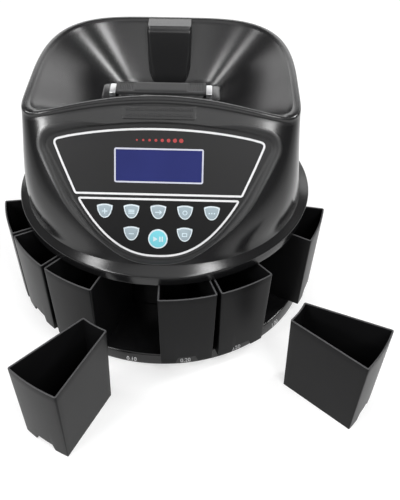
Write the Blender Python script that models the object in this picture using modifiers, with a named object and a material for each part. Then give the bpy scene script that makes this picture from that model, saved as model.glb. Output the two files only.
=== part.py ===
"""Tabletop coin sorter with eight coin bins round a drum, a turning sorting disc under a four-sided
funnel, and an inclined panel with a display and eight keys. Metres, +Z up, front towards -Y.

The origin is the middle of the base plate's underside, on the axis that the bins and the disc share.
The rubber feet reach below it to the table.
"""
from math import acos, asin, atan2, cos, hypot, pi, radians, sin, tan

import bmesh
import bpy
from mathutils import Matrix, Vector

# Clearances and cuts
gap = 0.0003
running_gap = 0.0011
overrun = 0.006
merge_distance = 0.00001

# Facets
ring_points = 52
disc_sides = 48
inner_disc_sides = 32
round_sides = 20
small_sides = 12
corner_steps = 4
smooth_angle = radians(32)

# Base, tray and feet
foot_radius = 0.0085
foot_height = 0.003
foot_circle_radius = 0.132
base_plate_thickness = 0.003
base_step = 0.001
foot_margin = 0.0115
tray_foot_radius = 0.1657
tray_edge_radius = 0.1632
tray_height = 0.012
tray_wall = 0.0025

# Bins and the drum behind them
bin_count = 8
bay_pitch = radians(20.3)
bin_gap_angle = radians(1.18)
bin_inner_radius = 0.090
bin_outer_radius = 0.180
bin_height = 0.099
bin_wall = 0.0018
bin_draft = 0.0017
bin_outer_lean = 0.0033
bin_floor_height = 0.0085
bin_floor_thickness = 0.0018
bin_notch_foot_width = 0.0245
bin_notch_top_width = 0.018
bin_notch_height = 0.008
bin_arc_steps = 4
bin_headroom = 0.0012
drum_radius = 0.088
drum_wall = 0.0025
drum_outer_radius = 0.1575
rear_y = 0.150

# Bins that stand on the table, by number: apex of the wedge and the way its wide end points
left_loose_bin_x = -0.0081
left_loose_bin_y = -0.1234
left_loose_bin_turn = radians(-123.4)
right_loose_bin_x = 0.0638
right_loose_bin_y = -0.1260
right_loose_bin_turn = radians(-32.1)
standing_bins = {4: (left_loose_bin_x, left_loose_bin_y, left_loose_bin_turn),
                 7: (right_loose_bin_x, right_loose_bin_y, right_loose_bin_turn)}

# Deck and sorting works
deck_radius = 0.160
deck_thickness = 0.003
deck_wall = 0.0025
deck_height = 0.0085
deck_cable_hole_radius = 0.018
deck_cable_hole_y = 0.122
exit_inner_radius = 0.0920
exit_outer_radius = 0.1155
exit_half_angle = radians(7.2)
track_inner_radius = 0.086
track_outer_radius = 0.1185
track_wall = 0.0022
track_floor_height = 0.0035
track_wall_height = 0.0145
smallest_coin_hole_radius = 0.0087
largest_coin_hole_radius = 0.0131
turntable_thickness = 0.0025
turntable_hub_radius = 0.014
sweeper_rise = 0.0019
sweeper_thickness = 0.002
sweeper_hub_radius = 0.040
sweeper_arms = 6
sweeper_root_width = 0.016
sweeper_tip_width = 0.009
sweeper_reach = 0.1148
cover_thickness = 0.002
sensor_size = (0.014, 0.022, 0.0048)
sensor_angle = radians(118)

# Drive under the deck
shaft_radius = 0.004
shaft_length = 0.062
bush_radius = 0.008
bush_flange_radius = 0.011
bush_flange_thickness = 0.0015
bush_height = 0.006
bracket_depth = 0.0422
bracket_thickness = 0.003
bracket_half_width = 0.068
bracket_front_y = -0.044
bracket_back_y = 0.106
bracket_corner = 0.010
bracket_post_radius = 0.004
bracket_post_x = 0.060
bracket_post_ys = (-0.030, 0.092)
motor_y = 0.082
motor_radius = 0.019
motor_height = 0.048
motor_shaft_radius = 0.003
drive_pulley_radius = 0.038
motor_pulley_radius = 0.009
pulley_width = 0.008
pulley_flange = 0.0025
pulley_flange_thickness = 0.0012
pulley_rise = 0.012
belt_thickness = 0.0018
belt_width = 0.005

# Upper housing
flange_radius = 0.160
flange_height = 0.0087
crease_radius = 0.150
housing_wall = 0.0025
rim_half_width = 0.1371
rim_front_y = -0.062
rim_centre_y = 0.015
rim_height = 0.243
rim_arch = 0.0154
rim_arch_half_width = 0.125
front_squareness = 8.7
back_squareness = 4.3
squareness_growth = 1.34
side_curve = 1.62
rear_taper = 0.136
flange_shares = ((0.12, 1.0), (0.58, 0.56), (1.0, 0.0))
housing_shares = (0.1, 0.26, 0.45, 0.64, 0.83, 1.0)

# Hopper funnel
lip_width = 0.009
lip_height = 0.0046
lip_seat = 0.0005
lip_shares = ((0.0, 0.0), (0.0, 0.5), (0.12, 0.85), (0.4, 1.0), (0.75, 0.95), (1.0, 0.55))
hopper_wall = 0.0022
throat_half_width = 0.062
throat_half_depth = 0.054
throat_centre_y = 0.054
throat_height = 0.189
throat_squareness = 4.0
mouth_radius = 0.027
mouth_y = 0.058
mouth_height = 0.157
neck_clearance = 0.001
neck_dip = 0.003
seat_clearance = 0.0005

# Block at the hopper's back wall
block_half_width = 0.026
block_foot_half_width = 0.0245
block_front_y = 0.124
block_foot_y = 0.1055
block_foot_height = 0.1855
block_corner = 0.009

# Strap handle
strap_half_length = 0.0475
strap_width = 0.0195
strap_thickness = 0.0035
strap_front_y = -0.042
strap_below_lip = 0.0045
strap_rib_inner = 0.026
strap_rib_outer = 0.041
strap_rib_pitch = 0.0025
strap_rib_depth = 0.0008
tongue_length = 0.0038
tongue_rear_inset = 0.005
tongue_drop = 0.0019
cap_length = 0.0058
cap_wall = 0.0011
post_inner_x = 0.0408
post_outer_x = 0.0575
post_margin = 0.004
post_depth = 0.030

# Panel: its reference point on the slope, and the slope's lean from the vertical
panel_lean = radians(29.5)
panel_y = -0.133
panel_z = 0.1275
window_waist = 0.0868
window_half_width = 0.1105
window_bottom = -0.0045
window_waist_height = 0.0585
window_side_height = 0.1075
window_top = 0.1305
window_corner = 0.011
bowl_power = 2.4
bowl_steps = 18
arch_steps = 8
frame_wall = 0.0025
frame_ledge = 0.0055
frame_floor = 0.0025
plate_thickness = 0.0025
lens_half_width = 0.0426
lens_bottom = 0.0731
lens_top = 0.1052
lens_corner = 0.0008
lens_thickness = 0.0018
module_margin = 0.005
module_thickness = 0.007
key_pitch = 0.0263
upper_key_height = 0.0439
lower_key_height = 0.0219
start_key_height = 0.0171
key_width = 0.0155
key_corner_rise = 0.0055
key_arch = 0.0016
key_drop = 0.0123
key_side_power = 2.2
key_drop_power = 1.7
start_key_radius = 0.0097
key_proud = 0.0011
key_travel = 0.001
key_flange = 0.001
key_flange_thickness = 0.0008
key_clearance = 0.00035
key_steps = 10
board_thickness = 0.0016
board_depth = 0.0060
board_margin = 0.0045
board_top_margin = 0.008
board_stud_radius = 0.0018

# Boards and supply on the tray, each with its corners (left, right, front, back)
main_board_corners = (0.062, 0.118, 0.018, 0.088)
supply_corners = (-0.118, -0.062, 0.018, 0.088)
board_stud_height = 0.008
chip_height = 0.003
transformer_size = (0.044, 0.036, 0.036)
capacitor_radius = 0.008
capacitor_height = 0.026

# Mains inlet and rocker switch in the drum's rear wall
inlet_x = 0.022
switch_x = -0.022
rear_fitting_z = 0.042
inlet_width = 0.0272
inlet_height = 0.0198
inlet_flange = 0.003
inlet_flange_thickness = 0.002
inlet_depth = 0.018
inlet_socket_depth = 0.0145
inlet_wall = 0.0016
inlet_corner = 0.003
pin_width = 0.002
pin_depth = 0.004
pin_spacing = 0.007
pin_drop = 0.0025
pin_length = 0.011
switch_width = 0.0145
switch_height = 0.0206
switch_flange = 0.0015
switch_flange_thickness = 0.0016
switch_wall = 0.0014
switch_depth = 0.014
rocker_half_angle = radians(9)
rocker_pivot_depth = 0.0015
rocker_half_height = 0.0076
rocker_back = 0.004
rocker_crown = 0.0028

# Heights and places that follow from the sizes above
base_step_radius = foot_circle_radius - foot_radius - foot_margin
bin_seat = tray_height + gap
deck_low = bin_seat + bin_height + bin_headroom
deck_top = deck_low + deck_thickness
deck_edge = deck_low + deck_height
drum_low = tray_height + gap
drum_high = deck_low - gap
housing_low = deck_edge + gap
crease_height = housing_low + flange_height
track_low = deck_top + gap
track_top = track_low + track_floor_height
turntable_top = track_top
cover_low = track_low + track_wall_height + gap
bracket_top = deck_low - bracket_depth
half_bin_angle = (bay_pitch - bin_gap_angle) / 2
bracket_low = bracket_top - bracket_thickness
motor_top = bracket_low - gap
strap_top = rim_height + rim_arch + lip_height - strap_below_lip
strap_low = strap_top - strap_thickness
tongue_start = strap_half_length - tongue_length
tongue_back = strap_front_y + strap_width - tongue_rear_inset
tongue_top = strap_top - tongue_drop
cap_inner_x = tongue_start + gap
post_top = strap_low - cap_wall - 2 * gap


def clear_scene():
    for thing in list(bpy.data.objects):
        bpy.data.objects.remove(thing, do_unlink=True)


def collection(name):
    group = bpy.data.collections.new(name)
    bpy.context.scene.collection.children.link(group)
    return group


clear_scene()
parts = collection("coin_counter")
cutters = collection("cutters")


def finish(name, colour, roughness, metallic=0.0):
    """A plain surface: colour, roughness and metallic value."""
    material = bpy.data.materials.new(name)
    material.use_nodes = True
    shader = material.node_tree.nodes["Principled BSDF"]
    shader.inputs["Base Color"].default_value = (*colour, 1)
    shader.inputs["Roughness"].default_value = roughness
    shader.inputs["Metallic"].default_value = metallic
    material.diffuse_color = (*colour, 1)
    return material


def add(name, mesh, surface=None, place=Matrix()):
    """Put a mesh in the scene under its piece's name."""
    thing = bpy.data.objects.new(name, mesh)
    parts.objects.link(thing)
    thing.matrix_world = place
    if surface and not mesh.materials:
        mesh.materials.append(surface)
    mesh.shade_smooth()
    mesh.set_sharp_from_angle(angle=smooth_angle)
    return thing


def from_bmesh(name, work):
    mesh = bpy.data.meshes.new(name)
    work.to_mesh(mesh)
    work.free()
    return mesh


def meshed(name, thing):
    """The shape as its modifiers leave it, with doubled points merged."""
    bpy.context.view_layer.update()
    graph = bpy.context.evaluated_depsgraph_get()
    source = bpy.data.meshes.new_from_object(thing.evaluated_get(graph))
    work = bmesh.new()
    work.from_mesh(source)
    bmesh.ops.remove_doubles(work, verts=work.verts, dist=merge_distance)
    bmesh.ops.recalc_face_normals(work, faces=work.faces)
    return from_bmesh(name, work)


def retire(thing):
    """Make an object a tool of another: wire only, and out of the model."""
    parts.objects.unlink(thing)
    cutters.objects.link(thing)
    thing.hide_render = True
    thing.display_type = "WIRE"


def combine(target, tool, operation):
    step = target.modifiers.new(tool.name, "BOOLEAN")
    step.operation = operation
    step.object = tool
    if tool.name in parts.objects:
        retire(tool)
    return target


def cut(target, *tools):
    for tool in tools:
        combine(target, tool, "DIFFERENCE")
    return target


def join(target, *tools):
    for tool in tools:
        combine(target, tool, "UNION")
    return target


def keep_within(target, tool):
    return combine(target, tool, "INTERSECT")


def plate(name, outlines, low, high, surface=None, place=Matrix()):
    """A flat outline with its holes, carried from height low to height high."""
    curve = bpy.data.curves.new(name, "CURVE")
    curve.dimensions = "2D"
    curve.fill_mode = "BOTH"
    curve.extrude = (high - low) / 2
    for outline in outlines:
        spline = curve.splines.new("POLY")
        spline.points.add(len(outline) - 1)
        for point, (x, y) in zip(spline.points, outline):
            point.co = (x, y, 0, 1)
        spline.use_cyclic_u = True
    flat = bpy.data.objects.new(name + "_outline", curve)
    bpy.context.scene.collection.objects.link(flat)
    mesh = meshed(name, flat)
    bpy.data.objects.remove(flat, do_unlink=True)
    mesh.transform(Matrix.Translation((0, 0, (low + high) / 2)))
    return add(name, mesh, surface, place)


def bridge(rings, capped):
    """Faces between rings of equal count, which run anticlockwise seen from above. Each patch is
    split along the same diagonal, so that two sets of rings set apart keep an even gap."""
    work = bmesh.new()
    rows = [[work.verts.new(point) for point in ring] for ring in rings]
    count = len(rings[0])
    for lower, upper in zip(rows, rows[1:]):
        for k in range(count):
            after = (k + 1) % count
            work.faces.new((lower[k], lower[after], upper[after]))
            work.faces.new((lower[k], upper[after], upper[k]))
    if capped:
        work.faces.new(reversed(rows[0]))
        work.faces.new(rows[-1])
        bmesh.ops.recalc_face_normals(work, faces=work.faces)
    return work


def loft(name, rings, surface=None, place=Matrix()):
    """A solid through unlike rings, closed at both ends."""
    return add(name, from_bmesh(name, bridge(rings, True)), surface, place)


def shell(name, rings, wall, surface):
    """An open skin through rings, thickened inwards."""
    thing = add(name, from_bmesh(name, bridge(rings, False)), surface)
    thicken = thing.modifiers.new("wall", "SOLIDIFY")
    thicken.thickness = wall
    thicken.offset = -1
    return thing


def turned(name, profile, sides, surface=None, closed=True, place=Matrix()):
    """A profile of (radius, height) points, down its outer side first, turned about +Z."""
    mesh = bpy.data.meshes.new(name)
    points = [(radius, 0, height) for radius, height in profile]
    edges = [(k, k + 1) for k in range(len(points) - 1)]
    if closed:
        edges.append((len(points) - 1, 0))
    mesh.from_pydata(points, edges, [])
    thing = add(name, mesh, surface, place)
    spin = thing.modifiers.new("turn", "SCREW")
    spin.steps = sides
    spin.render_steps = sides
    spin.use_merge_vertices = True
    spin.merge_threshold = merge_distance
    return thing


def rod(name, radius, low, high, surface=None, centre=(0, 0), place=Matrix(), sides=round_sides):
    """An upright cylinder between two heights."""
    work = bmesh.new()
    middle = Matrix.Translation((*centre, (low + high) / 2))
    bmesh.ops.create_cone(work, cap_ends=True, segments=sides, radius1=radius, radius2=radius,
                          depth=high - low, matrix=middle)
    return add(name, from_bmesh(name, work), surface, place)


def box(name, low, high, surface=None, place=Matrix()):
    """A block between two opposite corners."""
    work = bmesh.new()
    middle = Matrix.Translation((Vector(low) + Vector(high)) / 2)
    size = Matrix.Diagonal((*(Vector(high) - Vector(low)), 1))
    bmesh.ops.create_cube(work, size=1, matrix=middle @ size)
    return add(name, from_bmesh(name, work), surface, place)


def arc(radius, start, end, steps, centre=(0, 0)):
    """Points on a circle from one angle to another, both ends included."""
    angles = [start + (end - start) * k / steps for k in range(steps + 1)]
    return [(centre[0] + radius * cos(a), centre[1] + radius * sin(a)) for a in angles]


def circle(radius, centre=(0, 0), sides=round_sides):
    return arc(radius, 0, 2 * pi * (sides - 1) / sides, sides - 1, centre)


def rounded(left, right, low, high, corner, steps=corner_steps):
    """A rectangle with round corners, anticlockwise."""
    outline = []
    corners = ((right - corner, high - corner), (left + corner, high - corner),
               (left + corner, low + corner), (right - corner, low + corner))
    for turn, centre in enumerate(corners):
        outline += arc(corner, turn * pi / 2, (turn + 1) * pi / 2, steps, centre)
    return outline


def at_height(outline, height):
    return [(x, y, height) for x, y in outline]


def bay_angle(number):
    """The way bin number 1 to 8 points, from left to right round the front."""
    return -pi / 2 + (number - (bin_count + 1) / 2) * bay_pitch


black_body = finish("black_body_plastic", (0.022, 0.023, 0.024), 0.32)
black_hopper = finish("black_hopper_plastic", (0.030, 0.031, 0.032), 0.38)
black_bin = finish("black_bin_plastic", (0.018, 0.018, 0.019), 0.48)
panel_grey = finish("charcoal_panel_film", (0.040, 0.040, 0.041), 0.42)
blue_display = finish("blue_display_glass", (0.030, 0.038, 0.170), 0.12)
pale_key = finish("pale_blue_key", (0.420, 0.600, 0.680), 0.35)
turquoise_key = finish("turquoise_key", (0.190, 0.680, 0.740), 0.35)
chrome = finish("chrome_plate", (0.80, 0.80, 0.80), 0.12, 1.0)
strap_rubber = finish("strap_rubber", (0.035, 0.035, 0.036), 0.62)
foot_rubber = finish("foot_rubber", (0.012, 0.012, 0.012), 0.80)
steel = finish("steel", (0.55, 0.55, 0.56), 0.30, 1.0)
zinc_sheet = finish("zinc_sheet", (0.60, 0.61, 0.60), 0.42, 1.0)
white_plastic = finish("white_moulding", (0.62, 0.61, 0.58), 0.45)
board_green = finish("circuit_board", (0.020, 0.120, 0.045), 0.40)
bronze = finish("bronze_bush", (0.48, 0.30, 0.14), 0.35, 1.0)
belt_rubber = finish("belt_rubber", (0.020, 0.020, 0.020), 0.70)


def make_base():
    """Bottom plate, stepped up round its edge where the four rubber feet sit, inside the moulded
    tray that the bins stand on."""
    inner_foot = tray_foot_radius - tray_wall
    inner_edge = tray_edge_radius - tray_wall
    floor_low = tray_height - tray_wall
    plate_radius = inner_foot - (inner_foot - inner_edge) * base_plate_thickness / floor_low - gap
    turned("base_plate", [(0, base_plate_thickness), (plate_radius, base_plate_thickness),
                          (plate_radius, base_step), (base_step_radius, base_step),
                          (base_step_radius, 0), (0, 0)], disc_sides, black_body, closed=False)
    turned("bay_tray", [(0, tray_height), (tray_edge_radius, tray_height), (tray_foot_radius, 0),
                        (inner_foot, 0), (inner_edge, floor_low), (0, floor_low)],
           disc_sides, black_body, closed=False)
    for number in range(4):
        turn = pi / 4 + number * pi / 2
        spot = (foot_circle_radius * cos(turn), foot_circle_radius * sin(turn))
        place = Matrix.Translation((*spot, -foot_height))
        rod(f"foot_{number + 1}", foot_radius, 0, foot_height + base_step - gap, foot_rubber, place=place)


def wedge(inner, outer, half_angle, draw_in, height):
    """A ring sector about the x axis, its four sides drawn in by one amount."""
    shares = [2 * k / bin_arc_steps - 1 for k in range(bin_arc_steps + 1)]
    outline = []
    for radius, step in ((outer - draw_in, 1), (inner + draw_in, -1)):
        for share in shares[::step]:
            turn = share * half_angle
            outline.append((radius * cos(turn), radius * sin(turn) - share * draw_in, height))
    return outline


def bin_mesh():
    """Drafted wedge bin with a leaning outer wall: open top, raised floor, notch at its foot."""
    inner, turn = bin_inner_radius, half_bin_angle

    def outer(height):
        return bin_outer_radius - bin_outer_lean * (1 - height / bin_height)

    body = loft("bin_body", [wedge(inner, outer(0), turn, bin_draft, 0),
                             wedge(inner, outer(bin_height), turn, 0, bin_height)])
    floor = bin_floor_height + bin_floor_thickness
    drawn = bin_draft * (1 - floor / bin_height)
    rise = overrun / bin_height
    inside = loft("bin_inside", [
        wedge(inner, outer(floor), turn, bin_wall + drawn, floor),
        wedge(inner, outer(bin_height + overrun), turn, bin_wall - bin_draft * rise,
              bin_height + overrun)])
    below = loft("bin_below", [
        wedge(inner, outer(-overrun), turn, bin_wall + bin_draft * (1 + rise), -overrun),
        wedge(inner, outer(bin_floor_height), turn, bin_wall + drawn, bin_floor_height)])
    foot = bin_notch_foot_width / 2
    top = bin_notch_top_width / 2
    slope = (foot - top) / bin_notch_height * overrun
    notch = []
    for x in (outer(0) - bin_draft - bin_wall - overrun, bin_outer_radius + overrun):
        notch.append([(x, -foot - slope, -overrun), (x, foot + slope, -overrun),
                      (x, top, bin_notch_height), (x, -top, bin_notch_height)])
    cut(body, inside, below, loft("bin_notch", notch))
    mesh = meshed("coin_bin", body)
    mesh.transform(Matrix.Translation((-(inner + bin_outer_radius) / 2, 0, 0)))
    retire(body)
    return mesh


def make_bins():
    """Bins in their bays, and two that stand on the table in front."""
    mesh = bin_mesh()
    mesh.materials.append(black_bin)
    middle = (bin_inner_radius + bin_outer_radius) / 2
    for number in range(1, bin_count + 1):
        x, y, turn = standing_bins.get(number, (0, 0, bay_angle(number)))
        height = -foot_height if number in standing_bins else bin_seat
        place = Matrix.Translation((x, y, height)) @ Matrix.Rotation(turn, 4, "Z")
        add(f"coin_bin_{number}", mesh, place=place @ Matrix.Translation((middle, 0, 0)))


def rear_clipped(outline, back):
    return [(x, min(y, back)) for x, y in outline]


def drum_outline(inner, outer, side, back):
    """Round behind the bins, and wide with a flat back in the rear half."""
    reach = bin_count * bay_pitch / 2
    start = -pi / 2 + reach
    narrow = start + asin(side / inner)
    wide = start + asin(side / outer)
    rear = arc(outer, wide, pi - wide, disc_sides // 2)
    front = arc(inner, pi - narrow, 2 * pi + narrow, disc_sides // 2)
    return rear_clipped(rear, back) + front


def make_drum():
    """The wall behind the bays, closed round the rear half, with openings in its flat back."""
    drum = plate("drum_wall", [drum_outline(drum_radius, drum_outer_radius, 0, rear_y),
                               drum_outline(drum_radius - drum_wall, drum_outer_radius - drum_wall,
                                            drum_wall, rear_y - drum_wall)],
                 drum_low, drum_high, black_body)
    for label, x, width, height in (("inlet", inlet_x, inlet_width, inlet_height),
                                    ("switch", switch_x, switch_width, switch_height)):
        half = width / 2 + gap
        rise = height / 2 + gap
        opening = box(label + "_opening", (x - half, rear_y - drum_wall - overrun, rear_fitting_z - rise),
                      (x + half, rear_y + overrun, rear_fitting_z + rise))
        cut(drum, opening)


def sector(inner, outer, half_angle, turn):
    steps = corner_steps
    return (arc(outer, turn - half_angle, turn + half_angle, steps)
            + arc(inner, turn + half_angle, turn - half_angle, steps))


def make_deck():
    """Round deck over the bins: eight coin exits, a raised edge and the shaft's hole."""
    outline = rear_clipped(circle(deck_radius, sides=disc_sides), rear_y)
    inner = rear_clipped(circle(deck_radius - deck_wall, sides=disc_sides), rear_y - deck_wall)
    deck = plate("deck", [outline], deck_low, deck_edge, black_body)
    pocket = plate("deck_pocket", [inner], deck_top, deck_edge + overrun)
    exits = [sector(exit_inner_radius, exit_outer_radius, exit_half_angle, bay_angle(number))
             for number in range(1, bin_count + 1)]
    holes = [circle(bush_radius + gap), circle(deck_cable_hole_radius, (0, deck_cable_hole_y))]
    openings = plate("deck_openings", exits + holes, deck_low - overrun, deck_top + overrun)
    cut(deck, pocket, openings)


def make_sorting_works():
    """Track ring with graded coin holes, the turntable inside it, its sweeper and the cover."""
    inner, outer = track_inner_radius, track_outer_radius
    wall_top = track_low + track_wall_height
    track = turned("sorting_track", [
        (outer, wall_top), (outer, track_low), (inner, track_low), (inner, track_top),
        (outer - track_wall, track_top), (outer - track_wall, wall_top)], inner_disc_sides, white_plastic)
    for number in range(1, bin_count + 1):
        share = (number - 1) / (bin_count - 1)
        radius = smallest_coin_hole_radius * (1 - share) + largest_coin_hole_radius * share
        turn = bay_angle(number)
        reach = (inner + outer) / 2
        cut(track, rod(f"coin_hole_{number}", radius, track_low - overrun, track_top + overrun,
                       centre=(reach * cos(turn), reach * sin(turn)), sides=small_sides))

    low = track_low + gap
    base = turntable_top - turntable_thickness
    turned("turntable", [
        (inner - running_gap, turntable_top), (inner - running_gap, base),
        (turntable_hub_radius, base), (turntable_hub_radius, low),
        (shaft_radius + gap, low), (shaft_radius + gap, turntable_top)], inner_disc_sides, steel)

    arm_low = turntable_top + sweeper_rise
    arm_high = arm_low + sweeper_thickness
    star = []
    for number in range(sweeper_arms):
        turn = 2 * pi * number / sweeper_arms
        root = asin(sweeper_root_width / 2 / sweeper_hub_radius)
        tip = asin(sweeper_tip_width / 2 / sweeper_reach)
        star += arc(sweeper_reach, turn - tip, turn + tip, 2)
        star += arc(sweeper_hub_radius, turn + root, turn + 2 * pi / sweeper_arms - root, corner_steps)
    sweeper = plate("sweeper", [star, circle(shaft_radius + gap)], arm_low, arm_high, belt_rubber)
    hub = plate("sweeper_hub", [circle(turntable_hub_radius), circle(shaft_radius + gap)],
                turntable_top + gap, (arm_low + arm_high) / 2)
    join(sweeper, hub)

    neck = mouth_radius + hopper_wall + neck_clearance
    plate("disc_cover", [circle(outer, sides=inner_disc_sides), circle(neck, (0, mouth_y))],
          cover_low, cover_low + cover_thickness, white_plastic)

    length, width, height = sensor_size
    reach = (inner + outer) / 2
    place = Matrix.Rotation(sensor_angle, 4, "Z") @ Matrix.Translation((reach, 0, cover_low - gap))
    box("coin_sensor", (-length / 2, -width / 2, -height), (length / 2, width / 2, 0), board_green, place)


def pulley(name, radius, low, bore, sides, place):
    flange = radius + pulley_flange
    inner_low = low + pulley_flange_thickness
    inner_high = low + pulley_width - pulley_flange_thickness
    high = low + pulley_width
    return turned(name, [(flange, high), (flange, inner_high), (radius, inner_high),
                         (radius, inner_low), (flange, inner_low), (flange, low), (bore, low),
                         (bore, high)], sides, white_plastic, place=place)


def belt_outline(offset):
    """Two round ends joined by straight runs that touch both circles."""
    large = drive_pulley_radius + offset
    small = motor_pulley_radius + offset
    lean = acos((large - small) / motor_y)
    return (arc(large, pi / 2 + lean, 5 * pi / 2 - lean, round_sides)
            + arc(small, pi / 2 - lean, pi / 2 + lean, small_sides, (0, motor_y)))


def make_drive():
    """Motor on its bracket under the deck, driving the turntable's shaft by a flat belt."""
    shaft_top = turntable_top - gap
    rod("drive_shaft", shaft_radius, shaft_top - shaft_length, shaft_top, steel, sides=small_sides)
    bore = shaft_radius + gap
    upper = turned("upper_bush", [
        (bush_radius, deck_top), (bush_radius, deck_low - gap), (bush_flange_radius, deck_low - gap),
        (bush_flange_radius, deck_low - gap - bush_flange_thickness),
        (bore, deck_low - gap - bush_flange_thickness), (bore, deck_top)], small_sides, bronze)
    flange_low = bracket_top + gap
    lower = turned("lower_bush", [
        (bush_flange_radius, flange_low + bush_flange_thickness), (bush_flange_radius, flange_low),
        (bush_radius, flange_low), (bush_radius, bracket_low), (bore, bracket_low),
        (bore, flange_low + bush_flange_thickness)], small_sides, bronze)

    bracket = plate("motor_bracket", [
        rounded(-bracket_half_width, bracket_half_width, bracket_front_y, bracket_back_y, bracket_corner),
        circle(bush_radius + gap), circle(motor_pulley_radius, (0, motor_y))],
        bracket_low, bracket_top, zinc_sheet)
    for side in (-1, 1):
        for y in bracket_post_ys:
            post = rod(f"bracket_post_{side}_{y}", bracket_post_radius, bracket_low + gap,
                       deck_low - gap, centre=(side * bracket_post_x, y), sides=small_sides)
            join(bracket, post)

    motor_place = Matrix.Translation((0, motor_y, 0))
    pulley_low = bracket_top + pulley_rise
    rod("motor", motor_radius, motor_top - motor_height, motor_top, steel, place=motor_place)
    rod("motor_shaft", motor_shaft_radius, motor_top + gap, pulley_low + pulley_width, steel,
        place=motor_place, sides=small_sides)
    pulley("drive_pulley", drive_pulley_radius, pulley_low, bore, round_sides, Matrix())
    pulley("motor_pulley", motor_pulley_radius, pulley_low, motor_shaft_radius + gap, small_sides, motor_place)
    belt_low = pulley_low + (pulley_width - belt_width) / 2
    plate("drive_belt", [belt_outline(belt_thickness + gap), belt_outline(gap)],
          belt_low, belt_low + belt_width, belt_rubber)


def sector_reach(turn, half_width, half_depth, power):
    """Distance from the middle to a rounded rectangle's edge, whose corners sharpen with power."""
    across = abs(cos(turn)) / half_width
    along = abs(sin(turn)) / half_depth
    return (across ** power + along ** power) ** (-1 / power)


def body_point(turn, share, inset=0.0):
    """The housing's skin: round at the crease, share 0, and a rounded rectangle at the rim, share 1,
    that narrows towards the back. The rim's front edge is arched, and the front face is one slope
    below it."""
    front = sin(turn) < 0
    half_width = rim_half_width + (crease_radius - rim_half_width) * (1 - share) ** side_curve - inset
    centre_y = rim_centre_y * share
    power = 2 + ((front_squareness if front else back_squareness) - 2) * share ** squareness_growth
    slope = (rim_front_y + crease_radius) / (rim_height + rim_arch - crease_height)
    height = crease_height + share * (rim_height - crease_height)
    for _ in range(2):
        edge = -crease_radius + slope * (height - crease_height) if front else rear_y
        half_depth = abs(edge - centre_y) - inset
        reach = sector_reach(turn, half_width, half_depth, power)
        x = reach * cos(turn)
        arch = max(0, 1 - (x / rim_arch_half_width) ** 2) * rim_arch if front else 0
        height = crease_height + share * (rim_height + arch - crease_height)
    y = centre_y + reach * sin(turn)
    if not front:
        x *= 1 - rear_taper * share * ((y - centre_y) / (rear_y - centre_y)) ** 2
    return (x, min(y, rear_y - inset), height)


ring_turns = [-pi / 2 + 2 * pi * k / ring_points for k in range(ring_points)]


def flange_ring(out_share, rise_share):
    """A ring of the rounded flange, by its shares of the flange's height and of its overhang."""
    radius = crease_radius + (flange_radius - crease_radius) * out_share
    height = housing_low + flange_height * rise_share
    return at_height(rear_clipped([(radius * cos(t), radius * sin(t)) for t in ring_turns], rear_y), height)


def housing_rings():
    rings = [flange_ring(1.0, 0.0)]
    rings += [flange_ring(out, rise) for rise, out in flange_shares]
    rings += [[body_point(t, share) for t in ring_turns] for share in housing_shares]
    return rings


def superellipse_point(turn, half_width, half_depth, centre_y, power, height):
    reach = sector_reach(turn, half_width, half_depth, power)
    return (reach * cos(turn), centre_y + reach * sin(turn), height)


def lip_point(turn, in_share, rise_share):
    x, y, height = body_point(turn, 1.0, lip_width * in_share)
    outer = body_point(turn, 1.0)
    return (x, y, outer[2] + lip_seat + lip_height * rise_share)


def throat_point(turn, inset):
    return superellipse_point(turn, throat_half_width - inset, throat_half_depth - inset,
                              throat_centre_y, throat_squareness, throat_height)


def mouth_point(turn, inset, height=mouth_height):
    radius = mouth_radius - inset
    return (radius * cos(turn), mouth_y + radius * sin(turn), height)


def blend(first, second, share):
    return tuple(a + (b - a) * share for a, b in zip(first, second))


def funnel_rings(inset):
    """The funnel's inside from the lip down to its round mouth, drawn in by inset."""
    rings = []
    width = 1 + inset / lip_width
    for share in (0.0, 0.5):
        rings.append([blend(lip_point(t, width, lip_shares[-1][1]), throat_point(t, inset), share)
                      for t in ring_turns])
    rings.append([throat_point(t, inset) for t in ring_turns])
    rings.append([mouth_point(t, inset) for t in ring_turns])
    return rings


def make_housing():
    """Moulded upper housing with a window for the panel, and the funnel that closes its top."""
    housing = shell("upper_housing", housing_rings(), housing_wall, black_body)
    window = plate("panel_window", [window_outline(0)], -overrun * 2, overrun * 6, place=panel_place)
    cut(housing, window)
    rings = [[lip_point(t, inwards, rise) for t in ring_turns] for inwards, rise in lip_shares[:-1]]
    rings += funnel_rings(0)
    neck_low = cover_low - neck_dip
    rings.append([mouth_point(t, 0, neck_low) for t in ring_turns])
    shell("hopper", rings, hopper_wall, black_hopper)


def make_hopper_fittings():
    """Block at the back wall and the two handle posts, seated on the funnel's inside."""
    rings = funnel_rings(seat_clearance)
    lip_rise = lip_height * (1 - lip_shares[-1][1])
    space = loft("funnel_space", [[(x, y, z + lip_rise) for x, y, z in rings[0]]] + rings)
    retire(space)

    foot = rounded(-block_foot_half_width, block_foot_half_width, block_foot_y, rear_y + overrun,
                   block_corner)
    head = rounded(-block_half_width, block_half_width, block_front_y, rear_y + overrun,
                   block_corner / 3)
    block = loft("hopper_block", [at_height(foot, block_foot_height),
                                  at_height(head, rim_height + lip_height)], black_hopper)
    keep_within(block, space)

    for side, label in ((-1, "left"), (1, "right")):
        edges = sorted((side * post_inner_x, side * post_outer_x))
        front = strap_front_y - post_margin
        outline = rounded(edges[0], edges[1], front, strap_front_y + strap_width + post_margin,
                          post_margin / 2)
        post = plate(f"handle_post_{label}", [outline], post_top - post_depth, post_top, black_hopper)
        keep_within(post, space)


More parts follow.
